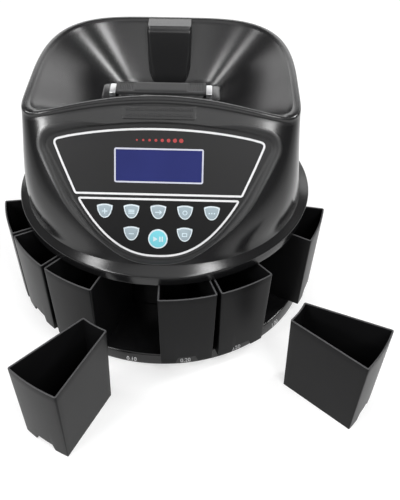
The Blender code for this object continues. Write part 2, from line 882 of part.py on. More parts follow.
def strap_outline():
    """Side view of the strap in x and z, with a row of cross grooves near each end."""
    top = [(-strap_half_length, strap_top)]
    count = round((strap_rib_outer - strap_rib_inner) / strap_rib_pitch)
    for side in (-1, 1):
        start = -strap_rib_outer if side < 0 else strap_rib_inner
        for k in range(count):
            x = start + k * strap_rib_pitch
            half = strap_rib_pitch / 2
            top += [(x, strap_top), (x + half / 2, strap_top - strap_rib_depth),
                    (x + half, strap_top - strap_rib_depth), (x + half * 3 / 2, strap_top)]
    top.append((strap_half_length, strap_top))
    return top[::-1] + [(-strap_half_length, strap_low), (strap_half_length, strap_low)]


def make_handle():
    """Flexible strap, its narrower tongues held in two chrome boots on the posts."""
    lying = Matrix.Translation((0, strap_front_y, 0)) @ Matrix.Rotation(pi / 2, 4, "X")
    strap = plate("handle_strap", [strap_outline()], -strap_width, 0, strap_rubber, lying)
    back = strap_front_y + strap_width + overrun
    for side in (-1, 1):
        left, right = sorted((side * tongue_start, side * (strap_half_length + overrun)))
        above = box(f"strap_above_{side}", (left, strap_front_y - overrun, tongue_top),
                    (right, back, strap_top + overrun))
        behind = box(f"strap_behind_{side}", (left, tongue_back, strap_low - overrun),
                     (right, back, tongue_top + overrun))
        cut(strap, above, behind)
    outer_x = cap_inner_x + cap_length
    low = (cap_inner_x, strap_front_y - cap_wall - gap, strap_low - cap_wall - gap)
    high = (outer_x, tongue_back + cap_wall + gap, tongue_top + cap_wall + gap)
    for side, label in ((-1, "left"), (1, "right")):
        mirror = Matrix.Rotation(pi, 4, "Z") if side < 0 else Matrix()
        middle = Vector((0, (low[1] + high[1]) / 2, 0))
        place = Matrix.Translation(middle) @ mirror @ Matrix.Translation(-middle)
        cap = box(f"handle_cap_{label}", low, high, chrome, place)
        hollow = box(f"cap_hollow_{label}", (cap_inner_x - overrun, low[1] + cap_wall, low[2] + cap_wall),
                     (strap_half_length + gap, high[1] - cap_wall, high[2] - cap_wall), place=place)
        cut(cap, hollow)


slope_axis = Vector((0, sin(panel_lean), cos(panel_lean)))
panel_normal = Vector((0, -cos(panel_lean), sin(panel_lean)))
panel_place = Matrix.Translation((0, panel_y, panel_z)) @ Matrix.Rotation(pi / 2 - panel_lean, 4, "X")


def window_outline(inset):
    """Bowl-shaped foot, spreading sides, round upper corners and an arched top, anticlockwise."""
    waist = window_waist - inset
    foot = window_bottom + inset
    points = []
    for k in range(bowl_steps + 1):
        share = 2 * k / bowl_steps - 1
        rise = (window_waist_height - foot) * abs(share) ** bowl_power
        points.append((waist * share, foot + rise))
    corner = max(window_corner - inset, window_corner / 3)
    centre_x = window_half_width - inset - corner
    centre_y = window_side_height + (window_corner - inset - corner)
    right = arc(corner, radians(-12), radians(78), corner_steps, (centre_x, centre_y))
    edge_x, edge_y = right[-1]
    top = window_top - inset
    arch = []
    for k in range(1, arch_steps):
        share = 1 - 2 * k / arch_steps
        arch.append((edge_x * share, top - (top - edge_y) * share ** 2))
    left = [(-x, y) for x, y in right[::-1]]
    return points + right + arch + left


def shield_outline(grow=0.0):
    """Key face: slightly arched top edge and sides that curve in to a round foot."""
    half = key_width / 2 + grow
    rise = key_corner_rise + grow
    drop = key_drop + 2 * grow
    top = []
    for k in range(key_steps // 2 + 1):
        share = 1 - 4 * k / key_steps
        top.append((half * share, rise + key_arch * (1 - share ** 2)))
    foot = []
    for k in range(1, key_steps):
        share = -cos(pi * k / key_steps)
        depth = (1 - abs(share) ** key_side_power) ** (1 / key_drop_power)
        foot.append((half * share, rise - drop * depth))
    return top + foot


def start_outline(grow=0.0):
    return circle(start_key_radius + grow)


keys = {f"key_{k + 1}": ((k - 2) * key_pitch, upper_key_height, shield_outline) for k in range(5)}
keys["key_6"] = (-key_pitch, lower_key_height, shield_outline)
keys["key_7"] = (key_pitch, lower_key_height, shield_outline)
keys["start_key"] = (0.0, start_key_height, start_outline)


def shifted(outline, x, y):
    return [(a + x, b + y) for a, b in outline]


def make_panel():
    """Recessed frame cut to the housing's skin, the face plate in it, and the display window."""
    body = loft("housing_volume", housing_rings())
    retire(body)
    ledge_top = -plate_thickness - gap
    ledge_low = ledge_top - frame_floor
    frame = plate("panel_frame", [window_outline(gap)], ledge_low, overrun * 5, black_body, panel_place)
    keep_within(frame, body)
    pocket = plate("frame_pocket", [window_outline(frame_wall)], ledge_top, overrun * 6, place=panel_place)
    opening = plate("frame_opening", [window_outline(frame_wall + frame_ledge)],
                    ledge_low - overrun, ledge_top + overrun, place=panel_place)
    cut(frame, pocket, opening)

    lens = rounded(-lens_half_width, lens_half_width, lens_bottom, lens_top, lens_corner, 2)
    lens_hole = rounded(-lens_half_width - gap, lens_half_width + gap, lens_bottom - gap,
                        lens_top + gap, lens_corner, 2)
    holes = [shifted(outline(key_clearance), x, y) for x, y, outline in keys.values()]
    plate("panel_plate", [window_outline(frame_wall + gap), lens_hole] + holes, -plate_thickness, 0,
          panel_grey, panel_place)
    plate("display_lens", [lens], -lens_thickness, 0, blue_display, panel_place)
    module = rounded(-lens_half_width - module_margin, lens_half_width + module_margin,
                     lens_bottom - module_margin, lens_top + module_margin, lens_corner, 2)
    back = -plate_thickness - gap
    plate("display_module", [module], back - module_thickness, back, board_green, panel_place)


def make_keys():
    """Seven shield keys and a round one, each held behind the plate by its flange."""
    flange_top = -plate_thickness - gap
    flange_low = flange_top - key_flange_thickness
    for name, (x, y, outline) in keys.items():
        place = panel_place @ Matrix.Translation((x, y, 0))
        surface = turquoise_key if name == "start_key" else pale_key
        key = plate(name, [outline()], flange_low, key_proud, surface, place)
        flange = plate(name + "_flange", [outline(key_flange)], flange_low, flange_top, place=place)
        join(key, flange)


def make_keypad_board():
    """Board behind the keys, stood off from the face plate by four studs."""
    half = 2 * key_pitch + key_width / 2 - board_margin
    low = start_key_height - start_key_radius
    high = upper_key_height + board_top_margin
    lower_half = key_pitch + key_width / 2 + board_margin / 2
    outline = [(-lower_half, low), (lower_half, low), (half, lower_key_height + board_margin),
               (half, high), (-half, high), (-half, lower_key_height + board_margin)]
    board = plate("keypad_board", [outline], -board_depth - board_thickness, -board_depth, board_green,
                  panel_place)
    for x, y in ((-1.5 * key_pitch, upper_key_height - board_margin),
                 (1.5 * key_pitch, upper_key_height - board_margin),
                 (-key_pitch / 2, upper_key_height), (key_pitch / 2, upper_key_height)):
        join(board, rod(f"board_stud_{x}", board_stud_radius, -board_depth - board_thickness / 2,
                        -plate_thickness - gap, centre=(x, y), place=panel_place, sides=small_sides))


def standing_board(name, corners):
    """A board on four studs on the tray's floor."""
    left, right, front, back = corners
    low = drum_low
    floor = low + board_stud_height
    board = box(name, (left, front, floor), (right, back, floor + board_thickness), board_green)
    inset = 2 * bracket_post_radius
    for x in (left + inset, right - inset):
        for y in (front + inset, back - inset):
            join(board, rod(f"{name}_stud_{x}_{y}", bracket_post_radius, low, floor + board_thickness / 2,
                            centre=(x, y), sides=small_sides))
    return board, floor + board_thickness / 2


def make_electronics():
    """Main board and power supply on the tray, behind the drum."""
    board, top = standing_board("main_board", main_board_corners)
    left, right, front, back = main_board_corners
    width = right - left
    depth = back - front
    for k, (x, y) in enumerate(((0.35, 0.35), (0.65, 0.7))):
        middle = (left + width * x, front + depth * y)
        half = width / 8
        join(board, box(f"chip_{k}", (middle[0] - half, middle[1] - half, top),
                        (middle[0] + half, middle[1] + half, top + chip_height)))
    supply, top = standing_board("power_supply", supply_corners)
    left, right, front, back = supply_corners
    length, depth, height = transformer_size
    start = (left + (right - left - length) / 2, back - depth - 2 * gap)
    seat = top + board_thickness / 2 + gap
    box("transformer", (*start, seat), (start[0] + length, start[1] + depth, seat + height), steel)
    for side in (-1, 1):
        join(supply, rod(f"capacitor_{side}", capacitor_radius, top, top + capacitor_height,
                         centre=((left + right) / 2 + side * 1.5 * capacitor_radius,
                                 front + 1.6 * capacitor_radius), sides=small_sides))


def rear_place(x):
    """Frame of a fitting in the rear wall: local z points backwards, out of the machine."""
    return Matrix(((-1, 0, 0, x), (0, 0, 1, rear_y), (0, 1, 0, rear_fitting_z), (0, 0, 0, 1)))


def make_inlet():
    """Appliance inlet with three pins in its socket."""
    place = rear_place(inlet_x)
    half = inlet_width / 2
    rise = inlet_height / 2
    flange = plate("mains_inlet", [rounded(-half - inlet_flange, half + inlet_flange, -rise - inlet_flange,
                                           rise + inlet_flange, inlet_corner)],
                   gap, gap + inlet_flange_thickness, black_body, place)
    body = plate("inlet_body", [rounded(-half, half, -rise, rise, inlet_corner / 2)],
                 -inlet_depth, gap + inlet_flange_thickness / 2, place=place)
    socket = plate("inlet_socket", [rounded(-half + inlet_wall, half - inlet_wall, -rise + inlet_wall,
                                            rise - inlet_wall, inlet_corner)],
                   -inlet_socket_depth, overrun, place=place)
    join(flange, body)
    cut(flange, socket)
    for k in (-1, 0, 1):
        x = k * pin_spacing
        y = -pin_drop if k else pin_drop
        pin = box(f"inlet_pin_{k}", (x - pin_width / 2, y - pin_depth / 2, -inlet_socket_depth - gap),
                  (x + pin_width / 2, y + pin_depth / 2, -inlet_socket_depth + pin_length), place=place)
        join(flange, pin)


def make_switch():
    """Rocker switch: a frame in the rear wall and a rocker that tips about its middle."""
    place = rear_place(switch_x)
    half = switch_width / 2
    rise = switch_height / 2
    frame = plate("switch_frame", [rounded(-half - switch_flange, half + switch_flange,
                                           -rise - switch_flange, rise + switch_flange, switch_flange)],
                  gap, gap + switch_flange_thickness, black_body, place)
    body = plate("switch_body", [rounded(-half, half, -rise, rise, switch_flange / 2)],
                 -switch_depth, gap + switch_flange_thickness / 2, place=place)
    well = box("switch_well", (-half + switch_wall, -rise + switch_wall, -switch_depth + 2 * switch_wall),
               (half - switch_wall, rise - switch_wall, overrun), place=place)
    join(frame, body)
    cut(frame, well)

    reach = rocker_half_height
    crown = rocker_crown
    dip = reach * tan(rocker_half_angle)
    outline = [(-reach, -rocker_back), (reach, -rocker_back), (reach, crown - dip + dip), (0, crown - dip),
               (-reach, crown - dip + dip)]
    tip = Matrix.Rotation(-rocker_half_angle, 4, "X") @ Matrix(
        ((0, 0, 1, 0), (1, 0, 0, 0), (0, 1, 0, 0), (0, 0, 0, 1)))
    width = half - switch_wall - gap * 2
    plate("power_rocker", [outline], -width, width, black_body,
          place @ Matrix.Translation((0, 0, -rocker_pivot_depth)) @ tip)


make_base()
make_bins()
make_drum()
make_deck()
make_sorting_works()
make_drive()
make_housing()
make_hopper_fittings()
make_handle()
make_panel()
make_keys()
make_keypad_board()
make_electronics()
make_inlet()
make_switch()
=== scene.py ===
import bmesh
import bpy
import numpy as np
from mathutils import Matrix, Vector


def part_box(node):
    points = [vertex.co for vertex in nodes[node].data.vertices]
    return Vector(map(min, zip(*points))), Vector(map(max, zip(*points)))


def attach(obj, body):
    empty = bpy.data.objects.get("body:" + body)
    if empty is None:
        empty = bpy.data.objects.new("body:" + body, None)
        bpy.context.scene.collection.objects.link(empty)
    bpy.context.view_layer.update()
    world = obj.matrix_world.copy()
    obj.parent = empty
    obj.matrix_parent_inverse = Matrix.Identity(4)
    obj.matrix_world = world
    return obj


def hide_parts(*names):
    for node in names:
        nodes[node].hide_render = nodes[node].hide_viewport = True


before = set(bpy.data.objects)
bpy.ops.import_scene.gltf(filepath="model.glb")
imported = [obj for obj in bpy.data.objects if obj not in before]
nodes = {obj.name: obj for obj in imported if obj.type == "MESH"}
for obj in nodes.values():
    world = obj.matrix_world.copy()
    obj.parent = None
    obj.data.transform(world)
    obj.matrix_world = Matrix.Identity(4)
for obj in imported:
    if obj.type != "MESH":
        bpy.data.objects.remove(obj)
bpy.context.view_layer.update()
mm = 0.001

# Tray and base
# The machine stands on a round moulded tray with a soft top edge, closed underneath by a bottom
# plate on four rubber feet. All the black parts are injection moulded in one satin plastic, whose
# tool was spark eroded: a fine grain, with slow drifts of tone and gloss.


def in_scene(name, data):
    """A new object of a mesh, curve, lamp or camera in the scene."""
    thing = bpy.data.objects.new(name, data)
    bpy.context.scene.collection.objects.link(thing)
    return thing


def fill(tree, target, inputs):
    """Give a shader node its inputs, by name or place: a socket is linked to, other values are set."""
    for key, value in inputs.items():
        if isinstance(value, bpy.types.NodeSocket):
            tree.links.new(value, target.inputs[key])
        else:
            target.inputs[key].default_value = value


def node(tree, kind, inputs, operation=None):
    """The first output of a new shader node, with its inputs as fill takes them."""
    made = tree.nodes.new("ShaderNode" + kind)
    if operation:
        made.operation = operation
    fill(tree, made, inputs)
    return made.outputs[0]


def shade(material, inputs):
    """Give a material's main shader its inputs, as fill takes them."""
    fill(material.node_tree, material.node_tree.nodes["Principled BSDF"], inputs)


def new_finish(name):
    """A new material with its tree and the object's coordinates."""
    material = bpy.data.materials.new(name)
    material.use_nodes = True
    tree = material.node_tree
    return material, tree, tree.nodes.new("ShaderNodeTexCoord").outputs["Object"]


def tones(tree, share, colour, low, high):
    """The colour times low where share is 0, rising evenly to times high where it is 1."""
    ramp = tree.nodes.new("ShaderNodeValToRGB")
    for stop, gain in zip(ramp.color_ramp.elements, (low, high)):
        stop.color = (*[min(1.0, c * gain) for c in colour], 1)
    tree.links.new(share, ramp.inputs["Fac"])
    return ramp.outputs["Color"]


def plastic(name, colour, roughness, grain=0.00045, depth=8e-7, drift=0.10, coat=0.0, sheen=0.32):
    """Moulded plastic. Slow noise moves the tone and the gloss, a finer noise scuffs the gloss, and
    a noise of the grain's size gives the tool's texture as a bump, all in object coordinates."""
    material, tree, where = new_finish(name)
    tone_scale, gloss_scale, scuff_scale = 22.0, 16.0, 420.0

    def noise(scale, detail):
        """Noise with scale cells to the metre."""
        return node(tree, "TexNoise", {"Vector": where, "Scale": scale, "Detail": detail})

    def spread(scale, detail, low, high):
        """The middle part of a noise, from 0.3 to 0.7, spread from low to high."""
        return node(tree, "MapRange", {"Value": noise(scale, detail), "From Min": 0.3, "From Max": 0.7,
                                       "To Min": low, "To Max": high})

    tone = spread(tone_scale, 3.0, 0.0, 1.0)
    slow = spread(gloss_scale, 2.0, roughness * 0.97, roughness * 1.03)
    scuffs = spread(scuff_scale, 4.0, -0.006, 0.008)
    shade(material, {
        "Specular IOR Level": sheen, "Coat Weight": coat, "Coat Roughness": 0.12,
        "Base Color": tones(tree, tone, colour, 1 - drift, 1 + drift),
        "Roughness": node(tree, "Math", {0: slow, 1: scuffs}, "ADD"),
        "Normal": node(tree, "Bump", {"Distance": depth, "Height": noise(1 / grain, 2.0)})})
    return material


def placed(name, mesh, finish, body, slot, crease):
    """An object of a mesh, smooth but for edges sharper than crease, riding on a body. The slot
    argument is not used."""
    mesh.materials.append(finish)
    mesh.shade_smooth()
    mesh.set_sharp_from_angle(angle=np.radians(crease))
    thing = in_scene(name, mesh)
    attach(thing, body)
    slot or finish.name.split(".")[0]
    return thing


def piece(name, grid, finish, body="machine", slot=None, crease=32, flipped=False, **joins):
    """A piece whose skin is a grid of points, joined as grid_faces says, and turned inside out where
    flipped."""
    mesh = bpy.data.meshes.new(name)
    faces = grid_faces(*grid.shape[:2], **joins)
    mesh.from_pydata(grid.reshape(-1, 3).tolist(), [], [face[::-1] for face in faces] if flipped else faces)
    return placed(name, mesh, finish, body, slot, crease)


def grid_faces(rows, columns, around=True, ends=(), loop=False):
    """Four-sided faces of a grid of rows by columns. around joins the last column to the first, loop
    the last row to the first, and ends closes the first row (0) or the last (1) with one face."""
    across = columns if around else columns - 1
    along = rows if loop else rows - 1
    r, c = np.meshgrid(np.arange(along), np.arange(across), indexing="ij")
    after, above = (c + 1) % columns, (r + 1) % rows
    quads = np.stack([r * columns + c, r * columns + after, above * columns + after,
                      above * columns + c], -1).reshape(-1, 4).tolist()
    if 0 in ends:
        quads.append(list(range(columns))[::-1])
    if 1 in ends:
        quads.append([(rows - 1) * columns + k for k in range(columns)])
    return quads


def turned_grid(profile, sides, centre=(0.0, 0.0)):
    """A profile of (radius, height) rows carried round a vertical axis."""
    turn = np.linspace(0, 2 * np.pi, sides, endpoint=False)
    radius, height = np.asarray(profile).T
    x, y = centre[0] + radius[:, None] * np.cos(turn), centre[1] + radius[:, None] * np.sin(turn)
    return np.stack([x, y, np.repeat(height[:, None], sides, 1)], -1)


def arc(angles, radius, centre=(0.0, 0.0)):
    """Points on a circle at the given angles."""
    return np.column_stack([centre[0] + radius * np.cos(angles), centre[1] + radius * np.sin(angles)])


def round_edge(start, corner, end, steps=6):
    """A quadratic curve from start to end that leans on corner: how a moulded edge turns."""
    share = np.linspace(0, 1, steps)[:, None]
    start, corner, end = (np.asarray(p, float) for p in (start, corner, end))
    return (1 - share) ** 2 * start + 2 * share * (1 - share) * corner + share ** 2 * end


def edge_at(radius, height, start, corner, end, steps=6):
    """Rows of round_edge, whose three points are given in millimetres from (radius, height)."""
    return (radius, height) + mm * round_edge(start, corner, end, steps)


black_body = plastic("black_body_plastic", (0.0070, 0.0070, 0.0074), 0.22, sheen=0.55)
tray_foot_radius = 165.7 * mm
tray_radius = 163.2 * mm
tray_height = 12 * mm
tray_wall = 2.5 * mm
tray_sides = 288
tray_profile = np.concatenate([
    [(tray_foot_radius - tray_wall, 0), (tray_foot_radius - 0.5 * mm, 0)],
    edge_at(tray_foot_radius, 0, (-0.4, 0), (0, 0), (0, 0.6), 3),
    edge_at(tray_radius, tray_height, (0.35, -1.7), (0, 0), (-2.4, 0)),
    [(r * mm, tray_height) for r in (155, 120, 60, 2)],
    [(2 * mm, tray_height - tray_wall), (tray_radius - tray_wall, tray_height - tray_wall)]])
tray = piece("tray_moulding", turned_grid(tray_profile, tray_sides), black_body, loop=True)
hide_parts("bay_tray")

foot_rubber = plastic("foot_rubber", (0.012, 0.012, 0.012), 0.8, grain=0.0009, depth=2e-5)
foot_radius = 8.5 * mm
foot_circle = 132 * mm
foot_low = -3 * mm
foot_sides = 48
foot_profile = np.concatenate([
    [(foot_radius * 0.55, -2.2 * mm), (foot_radius * 0.6, foot_low), (foot_radius - 0.8 * mm, foot_low)],
    edge_at(foot_radius, foot_low, (-0.8, 0), (0, 0), (0, 0.8), 4)[1:],
    [(foot_radius + 0.3 * mm, -0.3 * mm)]])
for number in range(1, 5):
    spot = arc(np.pi / 4 + (number - 1) * np.pi / 2, foot_circle)[0]
    points = turned_grid(foot_profile, foot_sides, spot)
    foot = piece(f"rubber_foot_{number}", points, foot_rubber, ends=(0, 1))
    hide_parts(f"foot_{number}")


def wear(material, *names):
    """Give CAD nodes a finish in place of their own."""
    for name in names:
        nodes[name].data.materials.clear()
        nodes[name].data.materials.append(material)


wear(black_body, "base_plate")

# Numbers on the tray
# Each bay has its coin's value printed in white on the tray's side: plain numbers, as a thin layer
# of ink that follows the round wall.


def flat_shape(name, outlines, low, high, place, finish, body="machine", slot=None):
    """A flat outline with its holes, filled and carried from height low to high, then placed."""
    curve = bpy.data.curves.new(name, "CURVE")
    curve.dimensions = "2D"
    curve.fill_mode = "BOTH"
    curve.extrude = (high - low) / 2
    for outline in outlines:
        spline = curve.splines.new("POLY")
        spline.points.add(len(outline) - 1)
        flat = np.column_stack([outline, np.zeros(len(outline)), np.ones(len(outline))])
        spline.points.foreach_set("co", flat.ravel())
        spline.use_cyclic_u = True
    return solid_of(curve, name, (low + high) / 2, place, finish, body, slot)


def final_mesh(thing):
    """The mesh of an object with its modifiers or its curve's thickness worked out."""
    bpy.context.view_layer.update()
    return bpy.data.meshes.new_from_object(thing.evaluated_get(bpy.context.evaluated_depsgraph_get()))


def solid_of(curve, name, lift, place, finish, body="machine", slot=None):
    """The mesh of a flat curve or of text, raised by lift, its caps welded, with its place in its
    points."""
    flat = in_scene(name, curve)
    mesh = final_mesh(flat)
    bpy.data.objects.remove(flat, do_unlink=True)
    work = bmesh.new()
    work.from_mesh(mesh)
    bmesh.ops.remove_doubles(work, verts=work.verts, dist=1e-6)
    bmesh.ops.recalc_face_normals(work, faces=work.faces)
    work.transform(place @ Matrix.Translation((0, 0, lift)))
    work.to_mesh(mesh)
    work.free()
    return placed(name, mesh, finish, body, slot, 32)


def film(name, colour, roughness=0.45, drift=0.06):
    """Ink or printed film: a plastic whose grain is finer."""
    return plastic(name, colour, roughness, grain=0.0003, depth=3e-6, drift=drift)


bin_count = 8
bay_pitch = np.radians(20.3)
white_ink = film("white_ink", (0.72, 0.72, 0.73), drift=0.04)
number_low = 1.5 * mm
number_height = 4.8 * mm
capital_share = 0.72  # of the type's size
stroke_growth = 0.09 * mm
ink = 0.06 * mm
side_slope = 2.15 / 9.7


def bay_turn(number):
    """The way bin number 1 to 8 points, from left to right round the front."""
    return -np.pi / 2 + (number - (bin_count + 1) / 2) * bay_pitch


def wrap(mesh, turn):
    """Bend flat text round the tray's side: x runs along the wall's circle, y up the wall, and z out of
    it. The wall's radius falls from the foot radius at 0.6 mm by side_slope for each unit of height."""
    flat = np.empty(len(mesh.vertices) * 3)
    mesh.vertices.foreach_get("co", flat)
    x, y, out = flat.reshape(-1, 3).T
    height = number_low + y
    radius = tray_foot_radius - (height - 0.6 * mm) * side_slope + out
    angle = turn + x / tray_foot_radius
    bent = np.stack([radius * np.cos(angle), radius * np.sin(angle), height], -1)
    mesh.vertices.foreach_set("co", bent.ravel())


for number, value in enumerate(("0.01", "0.02", "0.05", "0.10", "0.20", "0.50", "1.00", "2.00"), 1):
    text = bpy.data.curves.new(f"bay_value_{number}", "FONT")
    text.body = value
    text.size = number_height / capital_share
    text.align_x = "CENTER"
    text.extrude = ink / 2
    text.offset = stroke_growth
    printed = solid_of(text, f"bay_value_{number}", ink / 4, Matrix(), white_ink, slot="white_moulding")
    wrap(printed.data, bay_turn(number))

# Bins
# Eight loose wedge bins catch the coins. Each is a drafted box moulded in one piece, with a rounded
# rim painted a lighter grey as a painted highlight, a raised floor with a recess below it, and a
# notch at the foot of its leaning outer wall.


def carried(tree, name):
    """The value of that name which the mesh carries for each of its points."""
    value = tree.nodes.new("ShaderNodeAttribute")
    value.attribute_name = name
    return value.outputs["Fac"]


def given(tree, name):
    """The socket that feeds an input of a material's main shader."""
    return tree.nodes["Principled BSDF"].inputs[name].links[0].from_socket


def carry(thing, name, values):
    """Give a piece's points a value each, for carried."""
    thing.data.attributes.new(name, "FLOAT", "POINT").data.foreach_set("value", values.ravel())


black_bin = plastic("black_bin_plastic", (0.0065, 0.0065, 0.0069), 0.34, grain=0.0006, depth=2e-6, sheen=0.11)
tree = black_bin.node_tree
# Where the mesh marks the rim rows with 1, the plastic is painted a lighter grey: a painted highlight along
# the rim's rounded edge.
shade(black_bin, {"Base Color": node(tree, "MixRGB", {
    "Fac": carried(tree, "rim_highlight"), "Color1": given(tree, "Base Color"), "Color2": (0.070, 0.070, 0.072, 1)})})
inner_radius = 90 * mm
outer_radius = 180 * mm
bin_gap = np.radians(1.18)
half_bin = (bay_pitch - bin_gap) / 2
bin_height = 99 * mm
bin_wall = 1.8 * mm
bin_draft = 1.7 * mm
outer_lean = 3.3 * mm
bin_corner = 2.2 * mm
floor_low = 8.5 * mm
floor_top = 10.3 * mm
notch_foot = 12.25 * mm
notch_top = 9 * mm
notch_height = 8 * mm
standing_bins = {4: (-8.1 * mm, -123.4 * mm, np.radians(-123.4)),
                 7: (63.8 * mm, -126.0 * mm, np.radians(-32.1))}


def joined(start, end, count):
    """The points or rows between start and end, evenly spaced. With those two they are count."""
    return np.array([start + (end - start) * share for share in np.linspace(0, 1, count)[1:-1]])


def wedge(inset, height):
    """Outline of a ring sector about the x axis, drawn in by inset on all sides: a wide arc, a
    straight side, a narrow arc and the other side, each corner turned by a quadratic curve. The wide
    arc's radius falls evenly by outer_lean from the rim to the foot."""
    wide = outer_radius - outer_lean * (1 - height / bin_height) - inset
    narrow = inner_radius + inset
    turn = max(bin_corner - inset, 0.7 * mm)

    def side_angle(radius):
        """Half the angle between the sides at a radius."""
        return half_bin - np.arcsin(inset / radius)

    parts = []
    marks = np.array([notch_top, notch_foot])
    for radius, sign, count, own in ((wide, 1, 15, marks), (narrow, -1, 9, marks[:0])):
        reach = side_angle(radius) - turn / radius
        extra = np.arcsin(own / radius)
        angles = np.sort(np.concatenate([np.linspace(-reach, reach, count), -extra, extra]))[::sign]
        tip = arc(side_angle(radius), radius)[0]
        parts.append((arc(angles, radius), tip, tip - sign * turn * arc(half_bin, 1)[0]))
    (wide_arc, wide_tip, wide_end), (narrow_arc, narrow_tip, narrow_end) = parts
    wide_turn = round_edge(wide_arc[-1], wide_tip, wide_end, 5)[1:]
    narrow_turn = round_edge(narrow_end, narrow_tip, narrow_arc[0], 5)[:-1]
    side = joined(wide_end, narrow_end, 14)
    upper = np.concatenate([wide_turn, side, narrow_turn])
    lower = upper[::-1] * (1, -1)
    return np.concatenate([wide_arc, upper, narrow_arc, lower])


def stacked(levels):
    """A grid of flat outlines, each with its height, or with one for each of its points."""
    return np.array([np.column_stack([outline, np.zeros(len(outline)) + height])
                     for outline, height in levels])


def bin_rows():
    """The bin's skin as outlines at rising and falling heights: recess, foot, outside, rim, inside,
    floor. The foot follows the notch, a trapezium in the outer wall."""
    def draft(height):
        """How far the sides lie in at a height below the rim."""
        return bin_draft * (1 - height / bin_height)

    half_wall = bin_wall / 2
    rows = [(bin_wall + draft(floor_low) + 1.5 * mm, floor_low),
            (bin_wall + draft(floor_low), floor_low - 1 * mm),
            (bin_wall + draft(0), 0), (bin_wall / 2 + draft(0), 0), (draft(0), 0.4 * mm)]
    rows += [(draft(h), h) for h in (notch_height + 0.5 * mm, 30 * mm, 60 * mm, 90 * mm,
                                     bin_height - half_wall)]
    rows += [(half_wall * (1 - np.cos(a)), bin_height - half_wall + half_wall * np.sin(a))
             for a in np.radians((30, 60, 90, 120, 150))]
    rows += [(bin_wall + draft(h), h) for h in (bin_height - half_wall, 60 * mm, 30 * mm, floor_top + 2 * mm)]
    rows += [(bin_wall + draft(floor_top) + 0.6 * mm, floor_top + 0.6 * mm),
             (bin_wall + draft(floor_top) + 2 * mm, floor_top)]
    levels = []
    for place, (inset, height) in enumerate(rows):
        outline = wedge(inset, height)
        if 2 <= place <= 4:
            front = outline[:, 0] > (inner_radius + outer_radius) / 2
            share = np.clip((notch_foot - abs(outline[:, 1])) / (notch_foot - notch_top), 0, 1) * front
            height += notch_height * share
        levels.append((outline, height))
    return stacked(levels)


bin_grid = bin_rows()
bin_rim_highlight = np.zeros(bin_grid.shape[:2])
bin_rim_highlight[10:15] = 1  # the five rows of the rim, which get a painted highlight in lighter grey
for number in range(1, bin_count + 1):
    name = f"coin_bin_{number}"
    x, y, turn = standing_bins.get(number, (0, 0, bay_turn(number)))
    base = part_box(name)[0].z
    c, s = np.cos(turn), np.sin(turn)
    points = bin_grid @ np.array([[c, s, 0], [-s, c, 0], [0, 0, 1]]) + (x, y, base)
    made = piece(f"bin_{number}", points, black_bin, name, ends=(0, 1))
    # The mask of the rim's painted highlight goes on the bin's points.
    carry(made, "rim_highlight", bin_rim_highlight)
    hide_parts(name)

# Drum and deck
# Behind the bays a moulded wall closes the works in, flat at the back where the inlet and the switch
# sit. The deck lies on it: a round plate with a coin exit over each bin and a plain dark edge.

drum_front = 88 * mm
drum_back = 157.5 * mm
rear_y = 150 * mm
drum_low, drum_high = (corner.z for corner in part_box("drum_wall"))
reach = bin_count * bay_pitch / 2


def drum_outline(inset):
    """Anticlockwise: the wide rear arc, cut flat at the back, then in along a radius and round the
    front arc behind the bays."""
    start = -np.pi / 2 + reach
    narrow, wide = drum_front - inset, drum_back - inset
    low, high = start + np.arcsin(inset / narrow), start + np.arcsin(inset / wide)
    rear = np.minimum(arc(np.linspace(high, np.pi - high, 160), wide), (np.inf, rear_y - inset))
    front = arc(np.linspace(np.pi - low, 2 * np.pi + low, 120), narrow)
    return np.concatenate([rear, joined(rear[-1], front[0], 12), front, joined(front[-1], rear[0], 12)])


edge = 0.6 * mm
drum_rows = [(edge, drum_low), (0, drum_low + edge), (0, drum_high - edge), (edge, drum_high),
             (2.5 * mm, drum_high), (2.5 * mm, drum_low)]
drum_grid = stacked((drum_outline(inset), height) for inset, height in drum_rows)
drum = piece("drum_moulding", drum_grid, black_body, loop=True)
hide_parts("drum_wall")

deck_radius = 160 * mm
deck_low, deck_high = (corner.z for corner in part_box("deck"))
wear(black_body, "deck")
lip = 0.12 * mm
band_sides = 320
band = np.concatenate([
    [(deck_radius - 3 * mm, deck_low - lip), (deck_radius - 1.2 * mm, deck_low - lip)],
    edge_at(deck_radius + lip, deck_low - lip, (-1.02, 0), (0, 0), (0, 1.02)),
    edge_at(deck_radius + lip, deck_high, (0, -0.5), (0, 0), (-0.62, 0), 4),
    [(deck_radius - 2.4 * mm, deck_high)]])
band_grid = turned_grid(band, band_sides)
band_back = rear_y + lip - (deck_radius + lip - band[:, :1])  # each row's own, where it is cut flat
band_grid[..., 1] = np.minimum(band_grid[..., 1], band_back)
piece("deck_band", band_grid, black_body, loop=True)

# Works inside
# Under the funnel a steel disc with rubber fingers sweeps the coins over graded holes in a pale
# track. A motor on a zinc bracket drives it by a flat belt, and two green boards stand behind.


def metal(name, colour, roughness, scale=(900.0, 900.0, 40.0)):
    """Worked metal: noise drawn out along one direction moves the gloss and the tone a little."""
    material, tree, where = new_finish(name)
    drawn = node(tree, "Mapping", {"Vector": where, "Scale": scale})
    noise = node(tree, "TexNoise", {"Vector": drawn, "Scale": 1.0, "Detail": 3.0})
    gloss = node(tree, "MapRange", {"Value": noise, "To Min": roughness * 0.75, "To Max": roughness * 1.25})
    shade(material, {"Metallic": 1.0, "Roughness": gloss,
                     "Base Color": tones(tree, noise, colour, 0.88, 1.05)})
    return material


